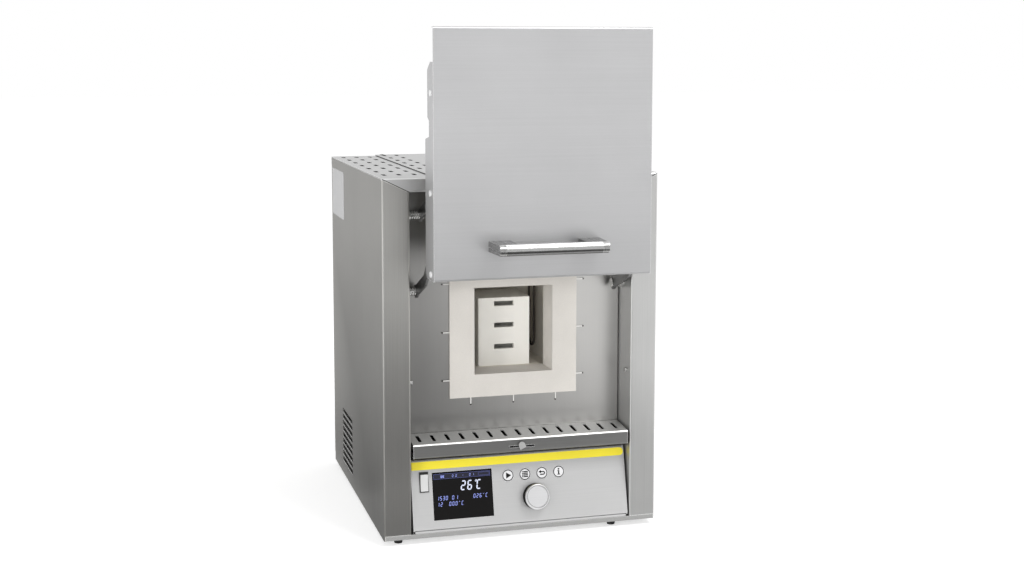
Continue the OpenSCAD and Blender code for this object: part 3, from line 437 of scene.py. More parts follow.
def lit_print(name, colour, strength):
    """Figures that glow on the display."""
    material, tree, shader = new_material(name)
    flicker = noise(tree, 300.0, 1.0)
    tree.links.new(tinted(tree, colour, spread(tree, flicker, 0.96, 1.04)), shader.inputs["Emission Color"])
    set_inputs(shader, {"Base Color": (0.02, 0.02, 0.025, 1), "Emission Strength": strength,
                        "Roughness": 0.4, "Specular IOR Level": 0.1})
    return material


def dark_window(name):
    """Black glossy window over the display."""
    material, tree, shader = new_material(name)
    dust = noise(tree, 60.0, 3.0)
    tint(tree, shader, srgb(14, 13, 13), spread(tree, dust, 0.93, 1.07))
    set_inputs(shader, {"Roughness": 0.25, "Specular IOR Level": 0.12})
    return material


def circuit_board(name):
    material, tree, shader = new_material(name)
    tracks = noise(tree, 220.0, 1.0)
    tone = spread(tree, tracks, 0.8, 1.2, 0.45, 0.55)
    tint(tree, shader, srgb(30, 92, 58), tone)
    shader.inputs["Roughness"].default_value = 0.42
    return material


MATERIALS = {}


def finish(name, make, *values, **options):
    """Makes a finish the first time it is asked for, and gives the same one after that."""
    if name not in MATERIALS:
        MATERIALS[name] = make(name, *values, **options)
    return MATERIALS[name]


def dress(nodes, material):
    """Gives CAD nodes their finish."""
    for name in nodes:
        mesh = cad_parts[name].data
        mesh.materials.clear()
        mesh.materials.append(material)


def dress_steel(nodes, name, colour, roughness, along, grain, metallic=0.9, edge=0.0, **more):
    """Gives CAD nodes a brushed steel finish."""
    dress(nodes, finish(name, brushed_steel, colour, roughness, along, grain, metallic, edge, **more))


def soften(nodes, width, angle=35, segments=2):
    """Rounds the deburred edges of CAD nodes with a modifier."""
    for name in nodes:
        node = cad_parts[name]
        bevel = node.modifiers.new("edge_round", "BEVEL")
        bevel.width = width
        bevel.segments = segments
        bevel.limit_method = "ANGLE"
        bevel.angle_limit = math.radians(angle)
        bevel.use_clamp_overlap = True
        bevel.harden_normals = False


def placed(name, data):
    """A new object in the scene."""
    item = bpy.data.objects.new(name, data)
    bpy.context.scene.collection.objects.link(item)
    return item


def mesh_object(bm, name, material):
    """Turns a bmesh into an object with one material."""
    mesh = bpy.data.meshes.new(name)
    bm.to_mesh(mesh)
    bm.free()
    mesh.materials.append(material)
    return placed(name, mesh)


def piece_from(bm, name, material, body, matrix=None, smooth=False):
    """Turns a bmesh into a piece that rides on a body."""
    if matrix is not None:
        bmesh.ops.transform(bm, matrix=matrix, verts=bm.verts)
    bmesh.ops.recalc_face_normals(bm, faces=bm.faces)
    piece = mesh_object(bm, name, material)
    if smooth:
        piece.data.shade_smooth()
    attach(piece, body)


def add_prism(bm, outline, low, high):
    """Adds a prism whose outline lies in X and Y."""
    bottom = [bm.verts.new((x, y, low)) for x, y in outline]
    top = [bm.verts.new((x, y, high)) for x, y in outline]
    bm.faces.new(bottom[::-1])
    bm.faces.new(top)
    count = len(outline)
    for i in range(count):
        j = (i + 1) % count
        bm.faces.new((bottom[i], bottom[j], top[j], top[i]))


def add_ring(bm, inner, outer, low, high, steps=64, start=0.0, sweep=math.tau):
    """Adds a flat ring, or an arc of one."""
    closed = abs(sweep - math.tau) < 1e-6
    count = steps if closed else steps + 1
    rows = []
    for i in range(count):
        angle = start + sweep * i / steps
        c, s = math.cos(angle), math.sin(angle)
        corners = ((inner, low), (outer, low), (outer, high), (inner, high))
        rows.append([bm.verts.new((c * r, s * r, z)) for r, z in corners])
    for i in range(count if closed else count - 1):
        a, b = rows[i], rows[(i + 1) % count]
        for k in range(4):
            m = (k + 1) % 4
            bm.faces.new((a[k], a[m], b[m], b[k]))
    if not closed:
        bm.faces.new(rows[0])
        bm.faces.new(rows[-1][::-1])


def box_outline(x0, x1, y0, y1):
    return [(x0, y0), (x1, y0), (x1, y1), (x0, y1)]


def add_slab(bm, corner, opposite):
    """Adds a box between two opposite corners."""
    (x0, x1), (y0, y1), (z0, z1) = (sorted(pair) for pair in zip(corner, opposite))
    add_prism(bm, box_outline(x0, x1, y0, y1), z0, z1)


def disc_outline(x, y, radius, steps=16):
    angles = [math.tau * k / steps for k in range(steps)]
    return [(x + radius * math.cos(angle), y + radius * math.sin(angle)) for angle in angles]


def slot_outline(length, width, grown, steps=8):
    """A slot with round ends, grown all round."""
    run, radius = (length - width) / 2, width / 2 + grown
    points = []
    for end, turn in ((run, -90), (-run, 90)):
        for k in range(steps + 1):
            angle = math.radians(turn + 180 * k / steps)
            points.append((end + radius * math.cos(angle), radius * math.sin(angle)))
    return points


def add_outline_ring(bm, inner, outer, low, high):
    """Adds a flat frame between two outlines with the same number of points."""
    loops = [[bm.verts.new((x, y, z)) for x, y in outline] for outline, z in
             ((inner, low), (outer, low), (outer, high), (inner, high))]
    count = len(inner)
    for i in range(count):
        j = (i + 1) % count
        for k in range(4):
            a, b = loops[k], loops[(k + 1) % 4]
            bm.faces.new((a[i], b[i], b[j], a[j]))


def round_box_outline(x0, x1, y0, y1, radius, steps=6):
    points = []
    corners = ((x1, y0, -1, 1, -90), (x1, y1, -1, -1, 0), (x0, y1, 1, -1, 90), (x0, y0, 1, 1, 180))
    for x, y, inward, upward, turn in corners:
        cx, cy = x + inward * radius, y + upward * radius
        for k in range(steps + 1):
            angle = math.radians(turn + 90 * k / steps)
            points.append((cx + radius * math.cos(angle), cy + radius * math.sin(angle)))
    return points


# Which of the seven bars a figure lights: top, upper left, upper right, middle, lower left, lower right, bottom.
BARS = {
    "0": "1110111", "1": "0010010", "2": "1011101", "3": "1011011", "4": "0111010",
    "5": "1101011", "6": "1101111", "7": "1010010", "8": "1111111", "9": "1111011",
    "c": "1100101", "-": "0001000",
}
FIGURE_SLANT = 0.13
FIGURE_WEIGHT = 0.128


def bar_outline(start, end, half):
    """A bar with pointed ends, as places along it and off its middle."""
    return [(start, 0), (start + half, -half), (end - half, -half), (end, 0), (end - half, half), (start + half, half)]


def add_figure(bm, figure, x, y, height, thickness, low, high):
    """Adds one slanted seven-bar figure with pointed bar ends."""
    start = len(bm.verts)
    width = height * 0.5
    half = thickness / 2
    gap = thickness * 0.1
    if figure == "*":
        r = height * 0.11
        add_ring(bm, r * 0.45, r, low, high, 16)
        bmesh.ops.translate(bm, vec=(width * 0.4, height - r, 0), verts=list(bm.verts)[start:])
    left, right = half, width - half
    bottom, top = half, height - half
    middle = height / 2
    levels = {0: (left, right, top), 3: (left, right, middle), 6: (left, right, bottom)}
    uprights = {1: (left, middle, top), 2: (right, middle, top), 4: (left, bottom, middle), 5: (right, bottom, middle)}
    for bar, lit in enumerate(BARS.get(figure, "")):
        if lit == "0":
            continue
        if bar in levels:
            x0, x1, at = levels[bar]
            outline = bar_outline(x0 + gap, x1 - gap, half)
            add_prism(bm, [(along, at + off) for along, off in outline], low, high)
        else:
            at, y0, y1 = uprights[bar]
            outline = bar_outline(y0 + gap, y1 - gap, half)
            add_prism(bm, [(at - off, along) for along, off in outline], low, high)
    for vert in list(bm.verts)[start:]:
        vert.co.x += x + vert.co.y * FIGURE_SLANT
        vert.co.y += y


def figures(name, text, x, y, height, pitch, material, low, high, ring_step=1.0):
    """A line of figures on the display, from its lower left corner in the panel's frame."""
    bm = bmesh.new()
    for figure in text:
        add_figure(bm, figure, x, y, height, height * FIGURE_WEIGHT, low, high)
        x += pitch * (ring_step if figure == "*" else 1.0)
    piece_from(bm, name, material, "case", panel_matrix())


def facing(point, out):
    """Frame on a face at a point, with Z out of it."""
    return Matrix.Translation(point) @ Vector(out).to_track_quat("Z", "Y").to_matrix().to_4x4()


SOCKET_RADIUS = 0.0017
SOCKET_FLOOR = 0.00004


def hex_sockets(name, places, body):
    """Dark hexagons on a row of screw heads, painted shade of their sockets, each place on the head's face."""
    bm = bmesh.new()
    for place in places:
        start = len(bm.verts)
        add_prism(bm, disc_outline(0, 0, SOCKET_RADIUS, 6), 0, SOCKET_FLOOR)
        add_ring(bm, SOCKET_RADIUS, SOCKET_RADIUS + 0.0003, 0, 2 * SOCKET_FLOOR, 24)
        bmesh.ops.transform(bm, matrix=place, verts=list(bm.verts)[start:])
    piece_from(bm, name, finish("socket_dark", painted, srgb(46, 46, 47), 0.6), body)


class FURNACE_OT_case_finish(bpy.types.Operator):
    """Finish the case's sheets, feet and roof"""

    bl_idname = "furnace.case_finish"
    bl_label = "Case finish"

    # Thickness of a dark print on the seams and of the painted shade round the slots, and of the sheet edge pressed
    # out under a slot.
    RIM_PROUD = 0.00008
    LIP_PROUD = 0.00035

    def execute(self, context):
        look = context.scene.furnace_finish
        edge = look.edge_highlight
        self.dress_sides(look)
        # Painted highlight along the edges of the rear and inner casing.
        dress_steel(["rear_panel", "inner_casing"], "rear_brushed_steel", look.side_steel[:], 0.42, "X", look.grain,
                    edge=edge)
        # The recess plate is painted darker to the left and lighter to the right: a painted reflection.
        dress_steel(["recess_plate"], "plate_polished_steel", look.plate_steel[:], 0.32, "Z", look.grain * 0.25, 1.0,
                    falls=[(ACROSS, -0.13, 0.02, 0.64, 1.13)])
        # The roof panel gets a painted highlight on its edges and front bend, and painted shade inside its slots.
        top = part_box("roof_panel")[1].z
        dress_steel(["roof_panel"], "roof_satin_steel", look.roof_steel[:], 0.45, "Y", look.grain * 0.5, 0.8,
                    edge / 2, bends=[((0, FRONT_Y, top), (0, 1, 1), 1.6)],
                    pits=(top, case_point(-187, 50, 0), case_point(187, 402, 0)))
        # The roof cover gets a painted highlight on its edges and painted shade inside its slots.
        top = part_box("roof_cover")[1].z
        dress_steel(["roof_cover"], "cover_satin_steel", look.roof_steel[:], 0.45, "Y", look.grain * 0.5, 0.8,
                    edge / 2, pits=(top, case_point(-126, 30, 0), case_point(126, 410, 0)))
        # Painted highlight along the base's edges.
        dress_steel(["base_pan"], "base_satin_steel", srgb(154, 154, 153), 0.38, "X", look.grain * 0.6, edge=edge)
        self.dress_shelf(look)
        dress(["feet"], finish("foot_rubber", rubber))
        self.add_slot_shades()
        self.add_seams()
        self.add_vent_rims()
        self.add_sill(look)
        soften(["left_side_panel", "right_side_panel", "roof_cover", "rear_panel", "recess_plate"], look.edge_round)
        return {"FINISHED"}

    @staticmethod
    def dress_sides(look):
        """Side panels and the posts folded from them, with painted light and shade: darker towards the floor, lighter
        past the front bend, and a painted highlight along each bend.
        """
        # Painted highlight lines down the outer corner and the post's inner edge.
        left, right = ([(case_point(side * x, 0, 0), (1, 1, 0), tone)
                        for x, tone in ((CASE_HALF, 1.35), (OPENING_HALF, 1.5))] for side in (-1, 1))
        # Painted light just behind the front bend, and on the left towards the lower rear.
        past_bend = (BACK, FRONT_Y + 0.002, FRONT_Y + 0.004)
        low_rear = ((0, DIAGONAL, -DIAGONAL), DIAGONAL * (FRONT_Y + 0.05), DIAGONAL * (FRONT_Y + 0.33))
        dress_steel(["left_side_panel"], "left_brushed_steel", look.side_steel[:], 0.38, "Z", look.grain,
                    edge=look.edge_highlight, grazing=0.5, bends=left,
                    falls=[(UP, 0.03, 0.34, 0.34, 0.94), (*past_bend, 1.0, 1.22), (*low_rear, 1.0, 1.9)])
        dress_steel(["right_side_panel"], "right_brushed_steel", look.right_lit_steel[:], 0.38, "Z", look.grain,
                    edge=look.edge_highlight, bends=right,
                    falls=[(UP, 0.03, 0.22, 0.66, 0.98), (*past_bend, 1.0, 1.4)])

    @staticmethod
    def dress_shelf(look):
        """Shelf with painted light and shade: a front painted dark as a painted reflection, a painted highlight on the
        bend over it, and a top painted greyer.
        """
        corner = DIAGONAL * (FRONT_Y + SHELF_Z / 1000)
        # Painted reflection darkens the front, turning to a painted highlight at the bend.
        front = ((0, DIAGONAL, DIAGONAL), corner - 0.0015, corner - 0.0010, 0.23, 1.35)
        # Painted shade greys the top behind the bend.
        top = (BACK, FRONT_Y + 0.0016, FRONT_Y + 0.0026, 1.0, 0.58)
        dress_steel(["air_shelf"], "shelf_satin_steel", srgb(220, 220, 218), 0.36, "X", look.grain * 0.8, 0.7,
                    look.edge_highlight, falls=[front, top])

    @staticmethod
    def add_slot_shades():
        """Black sheets close behind the slots of the shelf, the sides and the roof: painted shade that makes the slots
        read dark.
        """
        slot_shade = finish("filter_black", painted, srgb(9, 9, 9), 0.9, 0.5, 0.0)
        bm = bmesh.new()
        front, back = case_point(0, 3.5, SHELF_Z - 3), case_point(0, 45, SHELF_Z - 0.2)
        thick, reach = 0.0006, 0.146
        add_prism(bm, [(front.y, front.z), (back.y, back.z), (back.y, back.z + thick), (front.y, front.z + thick)],
                  -reach, reach)
        piece_from(bm, "shelf_slot_shade", slot_shade, "case", ALONG_X)
        for side, name in ((-1, "left_vent_shade"), (1, "right_vent_shade")):
            bm = bmesh.new()
            add_slab(bm, case_point(side * 189.4, 276, 24), case_point(side * 190.4, 316, 170))
            piece_from(bm, name, slot_shade, "case")
        bm = bmesh.new()
        for side in (-1, 1):
            add_slab(bm, case_point(side * 128, 46, 493.6), case_point(side * 187.5, 404, 494.6))
        piece_from(bm, "roof_slot_shades", slot_shade, "case")

    def add_seams(self):
        """Dark mitre seams between the posts' tops and the roof panel's folded front."""
        low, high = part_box("roof_panel")
        half_width = 0.00045
        bm = bmesh.new()
        for side in (-1, 1):
            start = Vector((side * (CASE_HALF / 1000 - 0.0007), high.z - 0.0007))
            end = Vector((side * (OPENING_HALF / 1000 + 0.0002), low.z + 0.0002))
            step = (end - start).orthogonal().normalized() * half_width
            outline = [(start - step)[:], (end - step)[:], (end + step)[:], (start + step)[:]]
            add_prism(bm, outline, 0, self.RIM_PROUD)
        dark = finish("seam_dark", painted, srgb(44, 44, 43), 0.7, 0.3, 0.1)
        piece_from(bm, "mitre_seams", dark, "case", ON_FRONT)

    def add_vent_rims(self):
        """Dark rims round the side slots, painted shade that makes them read deep, each with a lower lip painted
        bright as a painted highlight.
        """
        painted_dark = finish("rim_burnt", painted, srgb(12, 12, 12), 0.8, 0.3, 0.05)
        bright = finish("lip_bright", turned_steel, srgb(226, 226, 225), 0.35)
        hole, rim = slot_outline(VENT_LENGTH, VENT_WIDTH, 0.0), slot_outline(VENT_LENGTH, VENT_WIDTH, 0.0010)
        low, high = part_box("left_side_panel")[0].x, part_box("right_side_panel")[1].x
        y = FRONT_Y + VENT_BACK
        half = (VENT_LENGTH - VENT_WIDTH) / 2
        for side, name, face in ((-1, "left_vent", low), (1, "right_vent", high)):
            rims, lips = bmesh.new(), bmesh.new()
            for k in range(VENT_COUNT):
                z = VENT_LOWEST + VENT_PITCH * k
                inner, outer = ([(y + a, z + b) for a, b in outline] for outline in (hole, rim))
                add_outline_ring(rims, inner, outer, *sorted((face, face + side * self.RIM_PROUD)))
                add_prism(lips, box_outline(y - half, y + half, z - 0.0035, z - 0.0027),
                          *sorted((face, face + side * self.LIP_PROUD)))
            piece_from(rims, name + "_rims", painted_dark, "case", ALONG_X)
            piece_from(lips, name + "_lips", bright, "case", ALONG_X)

    @staticmethod
    def add_sill(look):
        """Folded strip that closes the gap between the base's lip and the panel."""
        front, under = case_point(0, 0.3, 15.2)[1:]
        depth, rise, sheet, reach = 0.009, 0.003, 0.001, 0.150
        front_sheet = front + 0.0012
        bm = bmesh.new()
        outline = [(front, under), (front + depth, under), (front + depth, under + sheet),
                   (front_sheet, under + sheet), (front_sheet, under + rise), (front, under + rise)]
        add_prism(bm, outline, -reach, reach)
        steel = finish("sill_satin_steel", brushed_steel, look.panel_grey[:], 0.4, "X", look.grain * 0.4, 0.8)
        piece_from(bm, "panel_sill", steel, "case", ALONG_X)


class FURNACE_OT_control_panel(bpy.types.Operator):
    """Finish the control panel, its stripe, rocker switch and knob"""

    bl_idname = "furnace.control_panel"
    bl_label = "Control panel"

    def execute(self, context):
        look = context.scene.furnace_finish
        normal = Vector((0, -math.cos(PANEL_TILT), math.sin(PANEL_TILT)))
        face = panel_matrix().translation.dot(normal)
        # The panel is painted darker under the stripe, a painted shadow of the shelf, with a painted highlight along
        # its edges.
        dress_steel(["control_panel"], "panel_satin_grey", look.panel_grey[:], 0.42, "X", look.grain * 0.5, 0.7,
                    look.edge_highlight * 0.6, falls=[(UP, 0.098, 0.080, 0.85, 1.0)])
        dress(["panel_stripe"], finish("stripe_yellow", painted, look.stripe[:], 0.42, 0.4))
        dress(["rocker_frame"], finish("switch_black", painted, srgb(38, 38, 39), 0.45))
        dress(["rocker_button"], finish("switch_cap_grey", painted, srgb(196, 196, 196), 0.35, 0.3, 0.5, 0.3))
        # The knob's side is painted dark, painted shade, and its rim gets a painted highlight.
        dress_steel(["control_knob"], "knob_satin_silver", srgb(214, 214, 215), 0.3, "X", 0.2, 0.85, 0.0009,
                    falls=[(normal, face + 0.0120, face + 0.0136, 0.08, 1.0)], grazing=0.1)
        self.add_groove_shade()
        # The lever is painted dark behind the shelf's front, a painted shadow.
        dress_steel(["air_lever"], "lever_steel", srgb(214, 214, 213), 0.3, "X", 0.3,
                    falls=[(BACK, FRONT_Y - 0.001, FRONT_Y + 0.001, 1.0, 0.1)])
        soften(["panel_stripe"], 0.0001)
        soften(["rocker_frame", "rocker_button"], 0.0004)
        return {"FINISHED"}

    @staticmethod
    def add_groove_shade():
        """Grey ring just inside the rim of the knob's cap: painted shade of the groove at the foot of the rim."""
        cap = 0.0138
        bm = bmesh.new()
        add_ring(bm, 0.0142, 0.0149, cap, cap + 0.00006)
        grey = finish("groove_grey", painted, srgb(150, 150, 151), 0.4)
        piece_from(bm, "knob_groove_shade", grey, "knob", panel_matrix(*KNOB_PLACE))


class FURNACE_OT_display(bpy.types.Operator):
    """Build the display's window, outlined bar and plain figures"""

    bl_idname = "furnace.display"
    bl_label = "Display"

    # Places on the panel's face, in metres. A box is its left, right, bottom and top.
    BAR = (-0.1213, -0.0430, 0.0674, 0.0736)
    BAR_BOX = (-0.0587, -0.0439, 0.0687, 0.0724)
    # The first of the icon's six bars, as left, bottom, width and height, and the step to the next.
    ICON = (-0.1119, 0.0686, 0.0023, 0.0008)
    ICON_STEP = (0.0026, 0.0012)
    # The name, text, left, bottom and pitch of each group of small figures.
    SMALL_FIGURES = (
        ("zone_number", "1530", -0.1187, 0.0385, 0.0041),
        ("zone_index", "01", -0.0976, 0.0385, 0.0052),
        ("zone_reading", "026*c", -0.0678, 0.0385, 0.0043),
        ("set_number", "12", -0.1187, 0.0304, 0.0046),
        ("set_reading", "000*c", -0.1020, 0.0304, 0.0043),
    )
    RULE = 0.0003
    RULE_PROUD = 0.00003
    # The window's face, out of the panel's.
    SURFACE = 0.00021

    def execute(self, context):
        size = context.scene.furnace_detail
        dress(["display_lens"], finish("display_window", dark_window))
        dress(["display_module"], finish("module_black", painted, srgb(30, 30, 31), 0.5))
        white = finish("figures_white", lit_print, srgb(226, 232, 252), 1.1)
        blue = finish("figures_blue", lit_print, srgb(142, 154, 228), 1.3)
        rule = finish("rules_blue", lit_print, srgb(104, 112, 184), 0.8)
        navy = finish("bar_navy", lit_print, srgb(22, 23, 44), 0.6)
        proud = self.SURFACE + size.print_height
        on_bar = proud + size.print_height
        bm = bmesh.new()
        add_prism(bm, box_outline(*self.BAR), self.SURFACE, proud)
        self.lay(bm, "bar_field", navy)
        bm = bmesh.new()
        self.add_frame(bm, self.BAR, self.SURFACE, proud + self.RULE_PROUD)
        self.add_frame(bm, self.BAR_BOX, proud, proud + self.RULE_PROUD)
        self.lay(bm, "bar_lines", rule)
        bm = bmesh.new()
        x, y, width, height = self.ICON
        for row in range(3):
            for column in range(2):
                left, bottom = x + self.ICON_STEP[0] * column, y + self.ICON_STEP[1] * row
                add_prism(bm, box_outline(left, left + width, bottom, bottom + height), proud, on_bar)
        self.lay(bm, "bar_icon", blue)
        figures("display_bar_figures", "00 - 01", -0.0960, 0.0686, 0.0036, 0.0048, blue, proud, on_bar)
        figures("display_temperature", "26*c", -0.0850, 0.0500, size.large_digit, 0.0091, white, self.SURFACE, proud,
                0.42)
        for name, text, left, bottom, pitch in self.SMALL_FIGURES:
            figures("display_" + name, text, left, bottom, size.small_digit, pitch, blue, self.SURFACE, proud)
        return {"FINISHED"}

    @staticmethod
    def lay(bm, name, material):
        piece_from(bm, "display_" + name, material, "case", panel_matrix())

    def add_frame(self, bm, box, low, high):
        """Adds a thin outline round a box."""
        a0, a1, b0, b1 = box
        x0, x1, y0, y1 = a0 - self.RULE, a1 + self.RULE, b0 - self.RULE, b1 + self.RULE
        for sides in ((x0, x1, y0, b0), (x0, x1, b1, y1), (x0, a0, b0, b1), (a1, x1, b0, b1)):
            add_prism(bm, box_outline(*sides), low, high)


class FURNACE_OT_keys(bpy.types.Operator):
    """Print the ring and symbol on each of the four keys"""

    bl_idname = "furnace.keys"
    bl_label = "Keys"

    RING_RADIUS = 0.0077

    def execute(self, context):
        size = context.scene.furnace_detail
        keys = ["start_key", "menu_key", "back_key", "info_key"]
        dress(keys, finish("key_light_grey", painted, srgb(216, 216, 217), 0.4, 0.4))
        ink = finish("key_ring_grey", painted, srgb(40, 40, 41), 0.6, 0.3, 0.2)
        black = finish("key_symbol_black", painted, srgb(14, 14, 14), 0.6, 0.3, 0.2)
        for index, name in enumerate(keys):
            place = panel_matrix(FIRST_KEY[0] + KEY_PITCH * index, FIRST_KEY[1], KEY_RISE)
            body = name + "_cap"
            bm = bmesh.new()
            add_ring(bm, self.RING_RADIUS - size.ring_width, self.RING_RADIUS, 0, size.print_height)
            piece_from(bm, name + "_ring", ink, body, place)
            bm = bmesh.new()
            getattr(self, "add_" + name.split("_")[0])(bm, size.print_height)
            piece_from(bm, name + "_symbol", black, body, place)
        return {"FINISHED"}

    # Each symbol is drawn in metres round its key's middle.
    @staticmethod
    def add_start(bm, high):
        add_prism(bm, [(-0.0026, -0.0041), (0.0048, 0.0), (-0.0026, 0.0041)], 0, high)

    @staticmethod
    def add_menu(bm, high):
        for row in range(4):
            y = 0.0034 - row * 0.00226
            add_prism(bm, box_outline(-0.0043, -0.0029, y - 0.0008, y + 0.0008), 0, high)
            add_prism(bm, box_outline(-0.0024, 0.0043, y - 0.0008, y + 0.0008), 0, high)

    @staticmethod
    def add_back(bm, high):
        add_prism(bm, box_outline(-0.0014, 0.0020, 0.00085, 0.00235), 0, high)
        add_prism(bm, box_outline(-0.0026, 0.0020, -0.00275, -0.00125), 0, high)
        start = len(bm.verts)
        add_ring(bm, 0.00105, 0.00255, 0, high, 20, -math.pi / 2, math.pi)
        bmesh.ops.translate(bm, vec=(0.0020, -0.0002, 0), verts=list(bm.verts)[start:])
        add_prism(bm, [(-0.0048, 0.0016), (-0.0012, -0.0007), (-0.0012, 0.0039)], 0, high)

    @staticmethod
    def add_info(bm, high):
        add_prism(bm, box_outline(-0.0009, 0.0009, -0.0031, 0.0013), 0, high)
        add_prism(bm, box_outline(-0.0016, 0.0009, 0.0009, 0.0018), 0, high)
        add_prism(bm, box_outline(-0.0020, 0.0020, -0.0042, -0.0031), 0, high)
        add_prism(bm, disc_outline(0, 0.0036, 0.0012), 0, high)


class FURNACE_OT_chamber(bpy.types.Operator):
    """Finish the mouth collar, insulation, saggars, staples and heating rods"""

    bl_idname = "furnace.chamber"
    bl_label = "Chamber"

    # How far the staples' ends are from the mouth's middle, their pitch and their depth, in millimetres.
    SIDE_STAPLES = (101, 67)
    END_STAPLES = (102, 61)
    STAPLE_BACK = 47.25
    TIP_RADIUS = 0.00122

    def execute(self, context):
        look = context.scene.furnace_finish
        dress(["mouth_collar", "door_insulation"], finish("collar_fibre", fibre_board, look.fibre[:], 0.25))
        blocks = [place + "_insulation" for place in ("left", "right", "roof", "floor", "rear")]
        # The blocks inside are painted lighter than the collar's fibre, painted light that makes up for the chamber's
        # shade.
        dress(blocks + ["exhaust_pipe"], finish("chamber_fibre", fibre_board, srgb(226, 221, 211), 0.4))
        saggars = ["lower_saggar", "middle_saggar", "upper_saggar", "saggar_lid"]
        dress(saggars, finish("saggar_ceramic", fired_ceramic, look.ceramic[:]))
        dress(["heating_rods"], finish("rod_dark", heated_rod))
        dress(["collar_staples"], finish("staple_wire", painted, srgb(236, 235, 232), 0.35))
        self.add_tip_shades()
        dress(["rod_clamps"], finish("clamp_cast", painted, srgb(178, 178, 182), 0.5, 0.5))
        dress(["thermocouple"], finish("sheath_ceramic", fired_ceramic, srgb(214, 208, 196)))
        soften(saggars + ["mouth_collar"], 0.0005)
        return {"FINISHED"}

    def add_tip_shades(self):
        """Dark spots on the ends of the staples: painted shade of the holes they pass into."""
        reach_x, pitch_z = self.SIDE_STAPLES
        reach_z, pitch_x = self.END_STAPLES
        spots = [(side * reach_x, z) for side in (-1, 1) for z in (-pitch_z, 0, pitch_z)]
        spots += [(x, side * reach_z) for side in (-1, 1) for x in (-pitch_x, 0, pitch_x)]
        bm = bmesh.new()
        for x, z in spots:
            place = Matrix.Translation(case_point(x, self.STAPLE_BACK, MOUTH_Z + z))
            bmesh.ops.create_uvsphere(bm, u_segments=14, v_segments=8, radius=self.TIP_RADIUS, matrix=place)
        painted_dark = finish("tip_burnt", painted, srgb(60, 57, 54), 0.6)
        piece_from(bm, "staple_tip_shades", painted_dark, "case", smooth=True)


class FURNACE_OT_door(bpy.types.Operator):
    """Finish the door, its handle, its screws and its arms"""

    bl_idname = "furnace.door"
    bl_label = "Door"

    def execute(self, context):
        look = context.scene.furnace_finish
        # The door is painted darker towards its bottom, painted shade, with a painted highlight along its edges.
        dress_steel(["door_skin"], "door_satin_steel", look.door_steel[:], 0.4, "X", look.grain * 0.45, 0.85,
                    look.edge_highlight * 0.6, falls=[(UP, 0.36, 0.56, 0.86, 1.0)])
        dress_steel(["door_back_plate"], "door_back_steel", look.side_steel[:], 0.4, "Z", look.grain)
        low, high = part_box("handle_bar")
        axis = (low.z + high.z) / 2
        # The bar is painted bright above its middle and dark below: a painted reflection.
        dress_steel(["handle_bar"], "bar_polished", srgb(206, 206, 205), 0.22, "X", 0.3, 1.0,
                    falls=[(UP, axis - 0.0030, axis + 0.0045, 0.3, 1.0)])
        # The posts are painted darker than the bar, painted shade of their faces turned from the light, with a painted
        # highlight along their edges.
        dress_steel(["handle_posts"], "post_polished", srgb(150, 150, 149), 0.26, "Y", 0.3, 1.0, 0.0012)
        # The screw heads are painted near white: a painted highlight on their domes.
        dress(["door_screws"], finish("screw_bright", painted, srgb(232, 232, 232), 0.3, 0.2))
        bright = finish("fastener_steel", turned_steel, srgb(198, 198, 196), 0.22)
        dress(["door_pins", "arm_shafts", "wall_stop"], bright)
        dress_steel(["lower_arms", "upper_arms"], "arm_zinc_steel", srgb(120, 120, 120), 0.34, "Y", 0.6, 0.95)
        soften(["door_skin"], look.edge_round)
        soften(["handle_posts"], 0.0012, 35, 3)
        soften(["door_screws", "door_pins", "arm_shafts"], 0.0004)
        return {"FINISHED"}


class FURNACE_OT_side_plate(bpy.types.Operator):
    """Fix a blank plate to the upper rear corner of the left side"""

    bl_idname = "furnace.side_plate"
    bl_label = "Side plate"

    # The plate's middle, back from the front and up from the floor, in millimetres.
    MIDDLE = (361, 444)
    CORNER = 0.003
    THICKNESS = 0.00025

    def execute(self, context):
        size = context.scene.furnace_detail
        w, h = size.plate_width / 2, size.plate_height / 2
        bm = bmesh.new()
        add_prism(bm, round_box_outline(-w, w, -h, h, self.CORNER), 0.0, self.THICKNESS)
        middle = case_point(0, *self.MIDDLE)
        middle.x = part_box("left_side_panel")[0].x
        place = Matrix.Translation(middle) @ Matrix(((0, 0, -1, 0), (-1, 0, 0, 0), (0, 1, 0, 0), (0, 0, 0, 1)))
        silver = finish("label_silver", painted, srgb(180, 180, 181), 0.35)
        piece_from(bm, "side_plate", silver, "case", place)
        return {"FINISHED"}


class FURNACE_OT_inner_works(bpy.types.Operator):
    """Finish the fan, inlet, boards, transformer and the rest of the fasteners"""

    bl_idname = "furnace.inner_works"
    bl_label = "Inner works"

    # How far the screws are from the middle, with their heights on the rear and their depths on the roof.
    REAR_SCREWS = (0.1845, (0.04, 0.16, 0.28, 0.4, 0.47))
    ROOF_SCREWS = (0.1155, (0.040, 0.405))

    def execute(self, context):
        dress(["control_board", "power_board"], finish("board_green", circuit_board))
        dress(["transformer"], finish("transformer_iron", painted, srgb(104, 100, 98), 0.55, 0.8))
        moulded = finish("moulded_black", painted, srgb(32, 32, 33), 0.48, 0.6)
        dress(["fan_frame", "fan_rotor", "mains_inlet", "encoder"], moulded)
        dress(["fan_guard", "case_screws"], finish("zinc_wire", turned_steel, srgb(190, 190, 188), 0.26))
        rear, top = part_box("case_screws")[1][1:]
        reach, heights = self.REAR_SCREWS
        places = [facing((side * reach, rear, z), BACK) for side in (-1, 1) for z in heights]
        reach, depths = self.ROOF_SCREWS
        places += [facing((side * reach, FRONT_Y + back, top), UP) for side in (-1, 1) for back in depths]
        hex_sockets("case_screw_sockets", places, "case")
        dress(["exhaust_stub", "stub_ring"], finish("stub_steel", turned_steel, srgb(196, 194, 190), 0.3))
        return {"FINISHED"}


